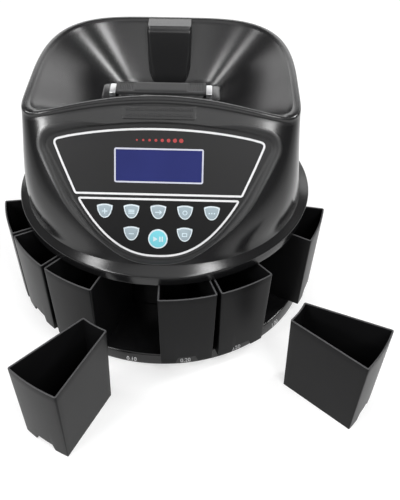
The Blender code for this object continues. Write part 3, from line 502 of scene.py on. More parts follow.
steel = metal("steel", (0.46, 0.46, 0.47), 0.34, (60.0, 60.0, 900.0))
zinc = metal("zinc_sheet", (0.55, 0.56, 0.56), 0.42, (90.0, 90.0, 90.0))
bronze = metal("bronze_bush", (0.48, 0.30, 0.14), 0.38)
white_moulding = plastic("white_moulding", (0.50, 0.49, 0.46), 0.45)
board_green = plastic("circuit_board", (0.020, 0.120, 0.045), 0.40, drift=0.2)
belt_rubber = plastic("belt_rubber", (0.020, 0.020, 0.020), 0.7)
wear(steel, "turntable", "drive_shaft", "motor", "motor_shaft", "transformer")
wear(zinc, "motor_bracket")
wear(bronze, "upper_bush", "lower_bush")
wear(white_moulding, "sorting_track", "disc_cover", "drive_pulley", "motor_pulley")
wear(board_green, "display_module", "keypad_board", "main_board", "power_supply", "coin_sensor")
wear(belt_rubber, "drive_belt", "sweeper")

# Upper housing
# One tall moulding from a round foot, with a soft flange over the deck, up to a four-sided rim with
# an arched front edge. Its skin is one formula, 2.4 mm thick, and the panel's window is cut in it.

crease_radius = 150 * mm
flange_radius = 160.8 * mm
housing_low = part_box("upper_housing")[0].z
crease_height = housing_low + 8.7 * mm
rim_half_width = 137.1 * mm
rim_front = -62 * mm
rim_centre = 15 * mm
rim_height = 243 * mm
rim_arch = 15.4 * mm
arch_half_width = 125 * mm
foot_squareness = 2.2
front_squareness = 8.7
back_squareness = 4.3
squareness_growth = 1.34
side_curve = 1.62
rear_taper = 0.136
columns = 480
turns = -np.pi / 2 + np.linspace(0, 2 * np.pi, columns, endpoint=False)
front_slope = (rim_front + crease_radius) / (rim_height + rim_arch - crease_height)


def reach_to(turn, half_width, half_depth, power):
    """Distance to the curve |x / half_width| ** power + |y / half_depth| ** power = 1, a rectangle whose
    round corners sharpen with power."""
    across = (abs(np.cos(turn)) / half_width) ** power
    return (across + (abs(np.sin(turn)) / half_depth) ** power) ** (-1 / power)


def half_width_at(share):
    """Half the housing's width: the rim's, and what the crease has more by (1 - share) ** side_curve."""
    return rim_half_width + (crease_radius - rim_half_width) * (1 - share) ** side_curve


def squareness_at(share, least, most):
    """The outline's power: from least at the crease to most at the rim by share ** squareness_growth."""
    return least + (most - least) * share ** squareness_growth


def arch_at(x):
    """The front edge's height above the rim's: a parabola in x, and nothing beyond arch_half_width."""
    return np.maximum(0, 1 - (x / arch_half_width) ** 2) * rim_arch


def skin(turn, share, inset=0.0):
    """The housing's outside: nearly a circle at the crease, share 0, and a rounded rectangle at the
    rim, share 1, whose front edge is arched. The front face is one slope, so its depth follows height,
    and the rear half narrows with the square of its depth."""
    front = np.sin(turn) < 0
    half_width = half_width_at(share) - inset
    centre = rim_centre * share
    power = squareness_at(share, np.where(front, foot_squareness, 2),
                          np.where(front, front_squareness, back_squareness))
    height = crease_height + share * (rim_height - crease_height) + 0 * turn
    for _ in range(2):
        edge_y = np.where(front, front_slope * (height - crease_height) - crease_radius, rear_y)
        out = reach_to(turn, half_width, abs(edge_y - centre) - inset, power)
        x = out * np.cos(turn)
        height = crease_height + share * (rim_height + np.where(front, arch_at(x), 0) - crease_height)
    y = centre + out * np.sin(turn)
    x = x * (1 - rear_taper * share * (np.maximum(y - centre, 0) / (rear_y - centre)) ** 2)
    return np.stack([x, np.minimum(y, rear_y - inset), height], -1)


flange = np.concatenate([
    [(flange_radius - 1.2 * mm, housing_low + 0.02 * mm)],
    edge_at(flange_radius, housing_low, (-0.7, 0), (0, 0), (0, 0.8), 4),
    edge_at(flange_radius, housing_low, (0, 0.9), (0, 1.9), (-0.9, 2.5)),
    edge_at(flange_radius, housing_low, (-1.3, 2.77), (-6.2, 5.65), (-9.9, 8.1), 9),
    [(crease_radius, crease_height)]])
foot_rows = np.roll(turned_grid(flange, columns), columns // 4, axis=1)
drawn_in = flange_radius - flange[:, :1]
crease_power = np.where(np.sin(turns) < 0, foot_squareness, 2)
crease_reach = reach_to(turns, crease_radius, crease_radius, crease_power)
widening = drawn_in * (crease_reach - crease_radius) / (flange_radius - crease_radius)
foot_rows[..., :2] *= (1 + widening / flange[:, :1])[..., None]
foot_rows[..., 1] = np.minimum(foot_rows[..., 1], rear_y - np.minimum(drawn_in, 2 * mm))
shares = (0.016, 0.035, 0.06, 0.09, *np.linspace(0.13, 0.96, 36), 0.975, 0.99, 1.0)
housing_grid = np.concatenate([foot_rows, [skin(turns, share) for share in shares]])


def walled(thing, thickness):
    """Thicken an open skin inwards."""
    wall = thing.modifiers.new("wall", "SOLIDIFY")
    wall.thickness = thickness
    wall.offset = -1
    return thing


# The panel's reference point on the slope, its lean, and the outline of its window: a bowl-shaped
# foot, spreading sides, round upper corners and an arched top.
panel_lean = np.radians(29.5)
panel_y, panel_z = -133 * mm, 127.5 * mm
panel_turn = Matrix.Rotation(np.pi / 2 - panel_lean, 4, "X")
panel_place = Matrix.Translation((0, panel_y, panel_z)) @ panel_turn
waist, waist_height = 86.8 * mm, 58.5 * mm
window_half, window_side = 110.5 * mm, 107.5 * mm
window_low, window_high = -4.5 * mm, 130.5 * mm
window_corner = 11 * mm
bowl_power = 2.4
mirror = np.array([-1, 1])


def window(inset, count=60):
    """The window's outline drawn in by inset, anticlockwise from the left end of the bowl: the bowl is
    |x| ** bowl_power, the sides are straight, the upper corners arcs and the top a parabola."""
    across = np.linspace(-1, 1, count)
    low = window_low + inset
    bowl = np.column_stack([(waist - inset) * across, low + (waist_height - low) * abs(across) ** bowl_power])
    corner = max(window_corner - inset, window_corner / 3)
    middle = (window_half - inset - corner, window_side + (window_corner - inset - corner))
    right = arc(np.radians(np.linspace(-12, 78, count // 4)), corner, middle)
    rise = joined(bowl[-1], right[0], count // 3)
    share = np.linspace(1, -1, count)[1:-1]
    high = window_high - inset
    top = np.column_stack([right[-1, 0] * share, high - (high - right[-1, 1]) * share ** 2])
    return np.concatenate([bowl, rise, right, top, right[::-1] * mirror, rise[::-1] * mirror])


def offset(path, distance):
    """A closed path moved outwards along its normals."""
    along = np.roll(path, -1, 0) - np.roll(path, 1, 0)
    normal = np.column_stack([along[:, 1], -along[:, 0]]) / np.hypot(*along.T)[:, None]
    return path + normal * distance


window_path = window(0.0)
roll_share = np.clip((window_path[:, 1:] - window_low) / (29.5 * mm), 0, 1)
side_share = np.clip((abs(window_path[:, :1]) - 45 * mm) / (45 * mm), 0, 1)
roll_share, side_share = (share ** 2 * (3 - 2 * share) for share in (roll_share, side_share))
roll_width = (1.2 + 7.8 * roll_share * side_share) * mm
housing_wall = 2.4 * mm
crease_angle = 16
housing = walled(piece("housing_moulding", housing_grid, black_body, crease=crease_angle), housing_wall)
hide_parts("upper_housing")
cutter = flat_shape("window_cutter", [offset(window_path, roll_width - 0.3 * mm)], -12 * mm, 36 * mm,
                    panel_place, black_body)
opening = housing.modifiers.new("window", "BOOLEAN")
opening.operation = "DIFFERENCE"
opening.object = cutter
cut_mesh = final_mesh(housing)
housing.modifiers.clear()
housing.data = cut_mesh
cut_mesh.set_sharp_from_angle(angle=np.radians(crease_angle))
bpy.data.objects.remove(cutter, do_unlink=True)

# Panel surround
# A moulded frame lines the recess: it leaves the housing's skin without a step, rolls over in a soft
# edge that widens towards the top, and drops to the face plate.


def skin_depth(u, v):
    """How far the housing's skin lies above the panel's plane at slope coordinates (u, v), by
    halving an interval on the formula of the front face."""
    sin, cos = np.sin(panel_lean), np.cos(panel_lean)
    low, high = np.full(u.shape, -20 * mm), np.full(u.shape, 45 * mm)
    for _ in range(40):
        middle = (low + high) / 2
        y = panel_y + v * sin - middle * cos
        z = panel_z + v * cos + middle * sin
        share = np.clip((z - crease_height) / (rim_height + arch_at(u) - crease_height), 0, 1)
        centre = rim_centre * share
        power = squareness_at(share, foot_squareness, front_squareness)
        depth = centre + crease_radius - front_slope * (z - crease_height)
        inside = (abs(u) / half_width_at(share)) ** power + (abs(y - centre) / depth) ** power < 1
        low = np.where(inside, middle, low)
        high = np.where(inside, high, middle)
    return (low + high) / 2


def on_panel(grid):
    """A grid of points in the panel's own directions, put in its place on the slope."""
    return grid @ np.array(panel_place.to_3x3()).T + np.array(panel_place.translation)


top_level = skin_depth(*window_path.T)
roll_depth = np.minimum(roll_width[:, 0] * 0.8, top_level - 1.0 * mm)
roll_shares = np.array([0, 0.12, 0.25, 0.38, 0.5, 0.6, 0.69, 0.77, 0.84, 0.9, 0.95, 1.0])
outline = offset(window_path, roll_width)
frame_rows = [(outline, skin_depth(*outline.T) - 1.6 * mm)]
for share in roll_shares:
    outline = offset(window_path, roll_width * (1 - share))
    level = skin_depth(*outline.T) + 0.02 * mm * (1 - share) - roll_depth * share ** 3
    frame_rows.append((outline, level))
last = frame_rows[-1][1]
for inset, keep, rise in ((0.35, 0.5, 0.3), (0.8, 0.15, 0.25), (1.5, 0, 0.12), (2.6, 0, 0.02),
                          (3.0, 0, -0.1), (3.2, 0, -1.5)):
    frame_rows.append((window(inset * mm), last * keep + rise * mm))
# The housing's plastic, but its gloss falls off down the rolled edge: the mesh carries a value from 0 at
# the skin to 1 at the face plate, and the roughness grows by 0.32 of it.
rolled_edge = plastic("rolled_edge_plastic", (0.0070, 0.0070, 0.0074), 0.22, sheen=0.55)
tree = rolled_edge.node_tree
terms = {0: carried(tree, "roll"), 1: 0.32, 2: given(tree, "Roughness")}
shade(rolled_edge, {"Roughness": node(tree, "Math", terms, "MULTIPLY_ADD")})
surround = piece("panel_surround", on_panel(stacked(frame_rows)), rolled_edge, slot="black_body_plastic",
                 crease=60)
rolled = np.ones(len(frame_rows))
rolled[:len(roll_shares) + 1] = [0, *np.clip(roll_shares / 0.6, 0, 1)]
carry(surround, "roll", np.repeat(rolled, len(window_path)))
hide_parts("panel_frame")

# Plain field above the panel
# A low plate with round corners stands proud of the slope above the panel, moulded with the housing.
# It carries no words, only two rows of upright ribs.


def rounded(half_width, low, high, corner, grow=0.0, count=8):
    """A rectangle about x = 0, grown on all sides, with round corners, anticlockwise."""
    quarter = np.linspace(0, np.pi / 2, count)
    side, under, over = half_width + grow - corner, low - grow + corner, high + grow - corner
    middles = ((side, over), (-side, over), (-side, under), (side, under))
    return np.concatenate([arc(quarter + turn * np.pi / 2, corner, middle)
                           for turn, middle in enumerate(middles)])


field_half_width, field_low, field_high, field_corner = 35.5 * mm, 133.2 * mm, 146.6 * mm, 2.2 * mm
field_rows = []
for inset, rise in np.array([(0, -0.4), (0, 0.45), (0.12, 0.68), (0.35, 0.8), (0.9, 0.82), (2.5, 0.82),
                             (4.5, 0.82), (6.2, 0.82)]) * mm:
    corner = max(field_corner - inset, 0.3 * mm)
    outline = rounded(field_half_width, field_low, field_high, corner, -inset)
    field_rows.append((outline, skin_depth(*outline.T) + rise))
piece("plain_field", on_panel(stacked(field_rows)), black_body, crease=45, ends=(1,))

# The ribs rise from a sheet just inside the plate's face. It lies rib_seat above the housing's skin,
# plus rib_height within two bands of v, away from the ends of u, and along the crests of a cosine.
rib_reach, rib_pitch, rib_seat, rib_height = 32, 3.4, 0.76, 0.6
rib_u, rib_v = np.meshgrid(np.linspace(-rib_reach, rib_reach, 385) * mm, np.linspace(134.9, 145, 33) * mm)
rib_band = np.clip(1.6 - abs(abs(rib_v / mm - 139.95) - 2.7), 0, 0.5) / 0.5
rib_ends = np.clip((rib_reach - abs(rib_u / mm)) / 0.5, 0, 1)
rib_wave = np.clip(0.5 + 1.2 * np.cos(2 * np.pi * rib_u / (rib_pitch * mm)), 0, 1)
rib_rise = (rib_seat + rib_height * rib_wave * rib_band * rib_ends) * mm
rib_grid = np.stack([rib_u, rib_v, skin_depth(rib_u, rib_v) + rib_rise], -1)
piece("field_ribs", on_panel(rib_grid), black_body, crease=60, around=False)

# Panel face
# A charcoal film on a flat plate, with the keys' field darker and glossier below. Two white lines
# run round the display's field and the keys' field, and a row of red discs of growing size stands
# for the sorted coins.

panel_film = film("charcoal_panel_film", (0.0125, 0.0125, 0.0130), 0.42)
key_film = film("key_field_film", (0.0060, 0.0060, 0.0064), 0.36)
red_ink = film("red_ink", (0.38, 0.050, 0.050))
key_pitch = 26.3 * mm
key_rows = {f"key_{k + 1}": ((k - 2) * key_pitch, 43.9 * mm) for k in range(5)}
key_rows["key_6"] = (-key_pitch, 21.9 * mm)
key_rows["key_7"] = (key_pitch, 21.9 * mm)
start_spot = (0.0, 17.1 * mm)
start_radius = 9.7 * mm


def shield(grow=0.0, count=40):
    """Key outline: an arched top edge, then sides that curve in to a round foot, by the formula
    depth = (1 - |x| ** 2.2) ** (1 / 1.7), with x from -1 to 1."""
    half, rise, arch, drop = 7.75 * mm + grow, 5.5 * mm + grow, 1.6 * mm, 12.3 * mm + 2 * grow
    share = np.linspace(1, -1, count // 2)
    top = np.column_stack([half * share, rise + arch * (1 - share ** 2)])
    share = -np.cos(np.linspace(0, np.pi, count))[1:-1]
    foot = np.column_stack([half * share, rise - drop * (1 - abs(share) ** 2.2) ** (1 / 1.7)])
    return np.concatenate([top, foot])


def ring(radius, count=64, centre=(0.0, 0.0)):
    """Points of a circle, anticlockwise."""
    return arc(np.linspace(0, 2 * np.pi, count, endpoint=False), radius, centre)


key_clearance = 0.35 * mm
key_holes = [shield(key_clearance) + spot for spot in key_rows.values()]
key_holes.append(ring(start_radius + key_clearance, centre=start_spot))
lens_half, lens_low, lens_high = 42.6 * mm, 73.1 * mm, 105.2 * mm
lens_hole = rounded(lens_half, lens_low, lens_high, 1.0 * mm, 0.2 * mm)
plate = flat_shape("panel_face", [window(2.75 * mm), lens_hole] + key_holes, -2.5 * mm, 0, panel_place,
                   panel_film)
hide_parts("panel_plate")

key_field_half = 78.7 * mm


def smooth_path(corners, radii):
    """A closed path through corners, each turned by a quadratic curve that starts its radius away."""
    parts = []
    for corner, radius, *ends in zip(corners, radii, np.roll(corners, 1, 0), np.roll(corners, -1, 0)):
        start, end = (corner + (end - corner) / np.hypot(*(end - corner)) * radius for end in ends)
        parts.append(round_edge(start, corner, end, 8))
    return np.concatenate(parts)


def line_round(name, path, finish=white_ink, width=2 * mm, height=0.12 * mm):
    """A printed line: a flat strip of ink that follows a closed path on the panel."""
    under = -0.05 * mm
    rows = [(width / 2, under), (width / 2, height), (-width / 2, height), (-width / 2, under)]
    grid = stacked((offset(path, side), level) for side, level in rows)
    piece(name, on_panel(grid), finish, slot="white_moulding", loop=True)


arched = np.linspace(1, -1, 25)[1:-1]
arched_top = np.column_stack([95 * mm * arched, (124.2 - 9.4 * abs(arched) ** 2.1) * mm])
upper_side = np.array([(81.4, 61.2), (93.8, 90), (102.6, 112.6)]) * mm
upper_corners = np.concatenate([upper_side[:1] * mirror, upper_side, arched_top, upper_side[:0:-1] * mirror])
upper_radii = np.array([1.2, 1.2, 9, 5.5] + [1.5] * len(arched_top) + [5.5, 9]) * mm
line_round("display_field_line", smooth_path(upper_corners, upper_radii))
across = np.linspace(-1, 1, 61)
bowl = np.column_stack([key_field_half * across, (-0.2 + 56.6 * abs(across) ** bowl_power) * mm])
field_path = np.concatenate([bowl[1:-1], round_edge(bowl[-2], bowl[-1], bowl[-1] - (1.2 * mm, 0), 5),
                             round_edge(bowl[0] + (1.2 * mm, 0), bowl[0], bowl[1], 5)])
line_round("key_field_line", field_path)
flat_shape("key_field", [offset(field_path, -0.4 * mm)] + key_holes, 0, 0.06 * mm, panel_place, key_film,
           slot="charcoal_panel_film")
mark_pitch, mark_height = 6.1 * mm, 113.6 * mm
for k, radius in enumerate(np.linspace(0.9, 2.05, 8)):
    disc = ring(radius * mm, 40, ((k - 3.5) * mark_pitch, mark_height))
    flat_shape(f"coin_mark_{k + 1}", [disc], 0, 0.08 * mm, panel_place, red_ink, slot="charcoal_panel_film")

# Display
# A blue window of tinted acrylic, backlit a little, is set flush in the plate: the blue is in its
# base, with a faint even glow. A pale border is printed round it.

window_blue = plastic("blue_display_window", (0.019, 0.024, 0.112), 0.16, depth=5e-7, drift=0.08, coat=0.5)
shade(window_blue, {"Emission Color": (0.026, 0.032, 0.150, 1), "Emission Strength": 0.20})
lens_rows = np.array([(0.9, -1.8), (0.1, -1.8), (0, -0.25), (0.25, 0), (1.2, 0.02)]) * mm
lens_grid = stacked((rounded(lens_half, lens_low, lens_high, max(1 * mm - inset, 0.3 * mm), -inset), height)
                    for inset, height in lens_rows)
lens = piece("display_window", on_panel(lens_grid), window_blue, ends=(0, 1))
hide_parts("display_lens")
border_ink = film("pale_border_ink", (0.54, 0.55, 0.64), drift=0.05)
line_round("display_border", rounded(lens_half, lens_low, lens_high, 1.4 * mm), border_ink, 1.5 * mm,
           0.14 * mm)

# Keys
# Seven shield-shaped keys and a round start key, moulded in soft pale plastic. Each has a crowned
# face inside a lighter rim and a plain sign printed on it, and each presses in on its own.

pale_key = plastic("pale_blue_key", (0.31, 0.38, 0.42), 0.38, grain=0.0004, drift=0.05)
pale_rim = plastic("pale_key_rim", (0.66, 0.74, 0.78), 0.38, grain=0.0004, drift=0.05)
turquoise_key = plastic("turquoise_key", (0.18, 0.57, 0.65), 0.36, grain=0.0004, drift=0.05)
sign_ink = plastic("pale_sign_ink", (0.60, 0.72, 0.77), 0.5, grain=0.0003, drift=0.05)
key_proud = 1.1 * mm


def bar(x, y, length, width, turn=0.0):
    """A printed stroke: a rectangle about (x, y), turned by an angle."""
    c, s = np.cos(turn), np.sin(turn)
    corner = np.array([(-1, -1), (1, -1), (1, 1), (-1, 1)]) * (length / 2, width / 2)
    return corner @ np.array([[c, s], [-s, c]]) + (x, y)


thick = 0.9
signs = {  # in millimetres
    "key_1": [bar(0, 0, 5.2, thick), bar(0, 0, thick, 5.2)],
    "key_2": [bar(0, level, 6, thick) for level in (1.5, 0, -1.5)],
    "key_3": [bar(0, 0, 6, thick), bar(2.2, 0.9, 2.8, thick, -0.7), bar(2.2, -0.9, 2.8, thick, 0.7)],
    "key_4": [ring(2.4, 32), ring(1.6, 32)],
    "key_5": [ring(0.75, 20, (k * 2.5, 0)) for k in (-1, 0, 1)],
    "key_6": [bar(0, 0, 5.2, thick)],
    "key_7": [rounded(2.6, -1.9, 1.9, 0.5), rounded(1.8, -1.1, 1.1, 0.3)],
    "start_key": [np.array([(-4.6, -2.6), (-0.2, 0), (-4.6, 2.6)]), bar(2, 0, 1.4, 5.2),
                  bar(4.4, 0, 1.4, 5.2)]}


def key(name, outline, middle, finish, slot):
    """Key as rings shrunk towards its middle: flank, rounded edge, rim, shallow groove, crown. Each row
    gives how far its widest side has come in and its height, in millimetres. The strokes of the sign
    lie on the face; crossing strokes stay separate, one a hair higher."""
    size = abs(outline[:, 0] - middle[0]).max()
    flank = [(0, -3.2), (0, key_proud / mm - 0.45), (0.14, key_proud / mm - 0.14), (0.45, key_proud / mm)]
    face = [(1.0, 1.10), (1.25, 0.98), (2.2, 1.12), (3.6, 1.24), (5.6, 1.32)]
    parts = (("rim", flank + face[:2], pale_rim, (0,)), ("face", face[1:], finish, (1,)))
    for label, rows, paint, ends in parts:
        grid = stacked((middle + (outline - middle) * (1 - inset / size), height)
                       for inset, height in np.array(rows) * mm)
        made = piece(f"{name}_{label}", on_panel(grid), paint, name, slot, ends=ends)
        if label == "rim":
            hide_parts(name)
    holed = name in ("key_4", "key_7")
    for k, strokes in enumerate([signs[name]] if holed else [[stroke] for stroke in signs[name]]):
        top = (1.42 + 0.01 * k) * mm
        flat_shape(f"{name}_sign_{k + 1}", [stroke * mm + middle for stroke in strokes], 1.2 * mm, top,
                   panel_place, sign_ink, name, "pale_blue_key")


for name, spot in key_rows.items():
    key(name, shield() + spot, spot, pale_key, "pale_blue_key")
key("start_key", ring(start_radius, centre=start_spot), start_spot, turquoise_key, "turquoise_key")

# Hopper
# The funnel is a moulding of its own that closes the housing's top: a rolled lip along the rim, four
# sloping walls that meet in soft valleys, and a round mouth over the turning disc.

black_hopper = plastic("black_hopper_plastic", (0.0110, 0.0110, 0.0115), 0.26, sheen=0.6)
lip_width = 9 * mm
lip_height = 4.6 * mm
lip_seat = 0.25 * mm
throat_half_width, throat_half_depth, throat_y, throat_height = 62 * mm, 54 * mm, 54 * mm, 189 * mm
throat_squareness = 4.0
mouth_radius = 27 * mm
mouth_y = 58 * mm
mouth_height = 157 * mm
neck_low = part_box("hopper")[0].z


def lip_row(in_share, rise_share):
    """A row of the lip, by its shares of the lip's width and height, above the housing's rim."""
    row = skin(turns, 1.0, lip_width * in_share)
    row[:, 2] = skin(turns, 1.0)[:, 2] + lip_seat + lip_height * rise_share
    return row


def level_row(out, y, height):
    """A level row about (0, y) that lies out from there, by one distance or by one for each turn."""
    return np.stack([out * np.cos(turns), y + out * np.sin(turns), np.full(columns, height)], -1)


roll = [(-0.0014, 0.03), (-0.001, 0.12), (0.0, 0.4), (0.03, 0.62), (0.1, 0.82), (0.21, 0.95), (0.36, 1.0),
        (0.52, 1.0), (0.68, 0.95), (0.82, 0.82), (0.92, 0.66), (1.0, 0.46)]
rows = [skin(turns, share, inset * mm) for share, inset in ((0.96, 0.15), (0.975, 0), (0.99, -0.012))]
rows += [lip_row(a, b) for a, b in roll]
inner_lip = lip_row(1.0, 0.46)
throat_out = reach_to(turns, throat_half_width, throat_half_depth, throat_squareness)
neck = level_row(throat_out, throat_y, throat_height)
mouth = level_row(mouth_radius, mouth_y, mouth_height)
rows += [*joined(inner_lip, neck, 26), neck, *joined(neck, mouth, 14), mouth]
rows += [level_row(mouth_radius, mouth_y, h) for h in np.linspace(mouth_height, neck_low, 6)[1:]]
funnel_wall = 2.0 * mm
hopper = walled(piece("hopper_funnel", np.array(rows), black_hopper, crease=60), funnel_wall)
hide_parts("hopper")

# Block at the hopper's back
# A hollow tower moulded against the back wall covers the fixing below it. Its front leans a little,
# its lower corners are rounded, and a small step runs round its top.

block_back = 147.5 * mm
block_rows = np.array([
    (185.6, 23.4, 106.2, 8), (187, 24.2, 106.0, 9), (196, 24.5, 108.5, 8), (215, 25, 114.2, 5),
    (240, 25.7, 121.6, 3.2), (243, 25.75, 122.5, 3), (243.6, 25.2, 123.3, 3), (246.8, 25.1, 124.1, 3),
    (247.6, 24.5, 124.8, 2.6)]) * mm  # height, half the width, front, corner
block_grid = stacked((rounded(half, front, block_back, corner, count=10), height)
                     for height, half, front, corner in block_rows)
block = piece("back_block", block_grid, black_hopper, crease=40, ends=(0, 1))
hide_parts("hopper_block")

# Strap handle
# A flexible strap across the front of the hopper is held at both ends by bright boots on two posts.
# It has a plain raised field in the middle and fine cross grooves near the boots.

strap_half = 43.7 * mm
strap_front, strap_back = -42 * mm, -22.5 * mm
strap_low, strap_top = 255 * mm, 258.5 * mm
tongue_back, tongue_top = -27.5 * mm, 256.6 * mm
strap_rubber = plastic("strap_rubber", (0.0260, 0.0260, 0.0266), 0.45, grain=0.0007, depth=1e-5)
groove_start, groove_end, groove_pitch, groove_depth = 27 * mm, 41 * mm, 1.75 * mm, 0.55 * mm
field_end, field_rise = 25.4 * mm, 0.45 * mm
stations = np.linspace(-strap_half, strap_half, 351)


def strap_section(x):
    """Cross-section at x as rounded rectangle points: the top sinks in fine grooves from 27 to 41 mm
    out, lies 0.45 mm proud within 25 mm, and stays flat between."""
    away = abs(x)
    groove = 0.5 - 0.5 * np.cos(2 * np.pi * (away - groove_start) / groove_pitch)
    depth = np.where((away > groove_start) & (away < groove_end), groove_depth * groove, 0)
    field = field_rise * np.clip((field_end - away) / (0.5 * mm), 0, 1)
    side, foot = 1.1 * mm, 0.6 * mm
    width, top = strap_back - strap_front, strap_top - strap_low
    angle = np.linspace(0, 1, 5) * np.pi / 2
    back = arc(angle, side, (width - side, top - side))
    run = np.column_stack([np.linspace(width - side - 0.2 * mm, side + 0.2 * mm, 12), np.full(12, top)])
    sunk = np.clip(np.minimum(run[:, 0] - side, width - side - run[:, 0]) / (1.2 * mm), 0, 1)
    run[:, 1] += (field - depth) * sunk
    front = arc(angle + np.pi / 2, side, (side, top - side))
    return np.concatenate([[(foot, 0), (width - foot, 0), (width, foot)], back, run, front, [(0, foot)]])


def carried_along(sections):
    """A grid of (y, z) outlines, each at its x."""
    return np.array([np.column_stack([np.full(len(outline), x), outline]) for x, outline in sections])


strap_grid = carried_along((x, strap_section(x) + (strap_front, strap_low)) for x in stations)
strap = piece("strap", strap_grid, strap_rubber, crease=35, ends=(0, 1))
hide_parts("handle_strap")

chrome = metal("chrome_plate", (0.74, 0.74, 0.75), 0.32, (30.0, 30.0, 30.0))


def sleeve(name, sections, corner, side, finish, **joins):
    """Rounded box sections along x about the strap's tongue: each row gives a distance out from the
    middle and how far the section is grown beyond the tongue, in millimetres."""
    grid = carried_along((side * x, rounded(tongue_half, strap_low, tongue_top, corner, grow) + (tongue_y, 0))
                         for x, grow in np.array(sections) * mm)
    return piece(name, grid, finish, crease=45, flipped=side < 0, **joins)


tongue_y, tongue_half = (strap_front + tongue_back) / 2, (tongue_back - strap_front) / 2
tongue_sections = ((43.2, 0), (47.2, 0), (47.5, -0.3))
boot_sections = ((44.4, 0.3), (44.0, 0.4), (44.0, 1.1), (44.3, 1.35), (44.8, 1.4), (48.8, 1.4), (49.5, 1.15),
                 (49.8, 0.5), (49.8, -0.3))
post_x, post_y, post_half, post_depth = 49.2 * mm, -32.4 * mm, 8.3 * mm, 13.6 * mm
for side, label in ((-1, "left"), (1, "right")):
    sleeve(f"tongue_{label}", tongue_sections, 0.5 * mm, side, strap_rubber, ends=(0, 1))
    cap = sleeve(f"boot_{label}", boot_sections, 0.7 * mm, side, chrome, ends=(1,))
    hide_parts(f"handle_cap_{label}")
for side, label in ((-1, "left"), (1, "right")):
    rows = np.array([(222, 0.6), (240, 0.1), (250, 0), (252.6, 0), (253.2, -0.3), (253.4, -1.0)]) * mm
    spot = (side * post_x, post_y)
    grid = stacked((rounded(post_half, -post_depth, post_depth, 3 * mm, grow) + spot, height)
                   for height, grow in rows)
    post = piece(f"post_{label}", grid, black_hopper, crease=45, ends=(0, 1))
    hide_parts(f"handle_post_{label}")

# Back fittings
# An appliance inlet and a rocker switch are clipped into the flat back of the drum. The rocker has a
# stroke and a ring printed on it for on and off.

fitting_black = plastic("fitting_black", (0.016, 0.016, 0.017), 0.42)
wear(fitting_black, "mains_inlet", "switch_frame", "power_rocker")
rocker_x = -22 * mm
upper_face = Matrix(((-1, 0, 0, rocker_x), (0, 0, 1, 150.08 * mm), (0, 1, 0, 46.1 * mm), (0, 0, 0, 1)))
lower_face = Matrix(((-1, 0, 0, rocker_x), (0, -0.308, 0.952, 151.27 * mm), (0, 0.952, 0.308, 38.6 * mm),
                     (0, 0, 0, 1)))
for label, outlines, face in (("on", [bar(0, 0, 0.7 * mm, 3.6 * mm)], upper_face),
                              ("off", [ring(1.9 * mm, 40), ring(1.3 * mm, 40)], lower_face)):
    flat_shape(f"switch_{label}_mark", outlines, -0.05 * mm, 0.07 * mm, face, white_ink, "rocker",
               "white_moulding")

# Floor, lamps and camera
# A plain pale table, soft lamps on all sides and above, and the camera where the photograph was taken
# from: about 43 degrees above, a little to the right.

table_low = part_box("coin_bin_4")[0].z
floor_half = 60.0
floor_corners = [(x * floor_half, y * floor_half, table_low) for x, y in ((-1, -1), (1, -1), (1, 1), (-1, 1))]
floor_mesh = bpy.data.meshes.new("table_top")
floor_mesh.from_pydata(floor_corners, [], [(0, 1, 2, 3)])
floor = in_scene("table_top", floor_mesh)


def seen(tree, level):
    """A value that is level for the rays that show the surroundings, to the camera, in gloss or
    through glass, and nothing for the rays that light the object."""
    rays = tree.nodes.new("ShaderNodeLightPath").outputs
    total = rays["Is Camera Ray"]
    for ray in ("Is Glossy Ray", "Is Transmission Ray"):
        total = node(tree, "Math", {0: total, 1: rays[ray]}, "MAXIMUM")
    return node(tree, "Math", {0: total, 1: level}, "MULTIPLY")


paper = new_finish("white_table")[0]
shade(paper, {"Base Color": (0.50, 0.50, 0.50, 1), "Roughness": 0.6, "Specular IOR Level": 0.2,
              "Emission Color": (1, 1, 1, 1), "Emission Strength": seen(paper.node_tree, 0.55)})
floor_mesh.materials.append(paper)

world = bpy.data.worlds.new("studio")
bpy.context.scene.world = world
world.use_nodes = True
fill(world.node_tree, world.node_tree.nodes["Background"], {"Color": (1, 1, 1, 1), "Strength": 0.12})


def lamp(name, azimuth, elevation, distance, size, power):
    """A soft oblong lamp at an azimuth and elevation in degrees about the machine's middle, at a
    distance in metres, turned to it, with its width and height in metres and its power in watts."""
    light = bpy.data.lights.new(name, "AREA")
    light.shape = "RECTANGLE"
    light.size, light.size_y = size
    light.energy = power
    turn, rise = np.radians(azimuth), np.radians(elevation)
    out = np.array([np.cos(turn) * np.cos(rise), np.sin(turn) * np.cos(rise), np.sin(rise)])
    spot = Vector(machine_middle + distance * out)
    way = Vector(machine_middle) - spot
    facing = way.to_track_quat("-Z", "Y").to_matrix().to_4x4()
    in_scene(name, light).matrix_world = Matrix.Translation(spot) @ facing


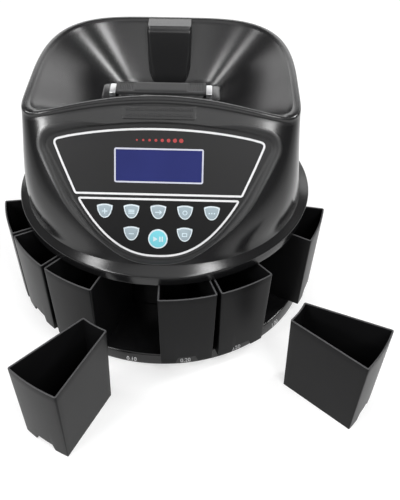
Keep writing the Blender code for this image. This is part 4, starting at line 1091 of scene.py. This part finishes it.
machine_middle = np.array([0, 0, 0.12])
lamp("upper_right_lamp", -51, 52.5, 1.25, (0.24, 0.24), 3.9)
lamp("upper_left_lamp", -141.5, 42, 1.25, (0.24, 0.24), 3)
lamp("left_front_lamp", -127, 26, 1.25, (0.18, 0.22), 4)
lamp("right_front_lamp", -68, 32, 1.25, (0.18, 0.22), 2.4)
lamp("left_lamp", 177, 37, 1.25, (0.22, 0.45), 4)
lamp("right_lamp", 12, 38, 1.25, (0.20, 0.45), 6.0)
lamp("back_lamp", 90, 24, 1.5, (1.2, 0.5), 4.5)
lamp("back_left_lamp", 125, 14, 1.4, (0.6, 0.5), 1.6)
lamp("back_right_lamp", 55, 16, 1.4, (0.6, 0.5), 1.4)
lamp("front_lamp", -105, 70, 1.25, (0.9, 0.5), 1.2)
lamp("low_front_lamp", -88, 41, 1.25, (1.6, 0.2), 2.0)
lamp("overhead_lamp", 90, 86, 1.4, (1.0, 1.0), 2.5)

image_width, image_height = 400, 500
focal_pixels = 752.1
principal = (186.3, 265.6)
pitch, roll_angle = np.radians(42.72), np.radians(-0.31)
heading = np.array([-0.0304, 0.9995])
eye = Vector((45.4 * mm, -688.5 * mm, 628.4 * mm))
forward = Vector((heading[0] * np.cos(pitch), heading[1] * np.cos(pitch), -np.sin(pitch)))
level = Vector((heading[1], -heading[0], 0))
down = forward.cross(level)
right = level * np.cos(roll_angle) + down * np.sin(roll_angle)
down = down * np.cos(roll_angle) - level * np.sin(roll_angle)
camera_data = bpy.data.cameras.new("camera")
camera_data.sensor_width = 36.0
camera_data.sensor_fit = "HORIZONTAL"
camera_data.lens = focal_pixels / image_width * camera_data.sensor_width
camera_data.shift_x = (image_width / 2 - principal[0]) / image_width
camera_data.shift_y = (principal[1] - image_height / 2) / image_width
camera = in_scene("camera", camera_data)
turned = Matrix((right, -down, -forward)).transposed()
camera.matrix_world = Matrix.Translation(eye) @ turned.to_4x4()
bpy.context.scene.camera = camera
bpy.context.scene.view_settings.view_transform = "Standard"
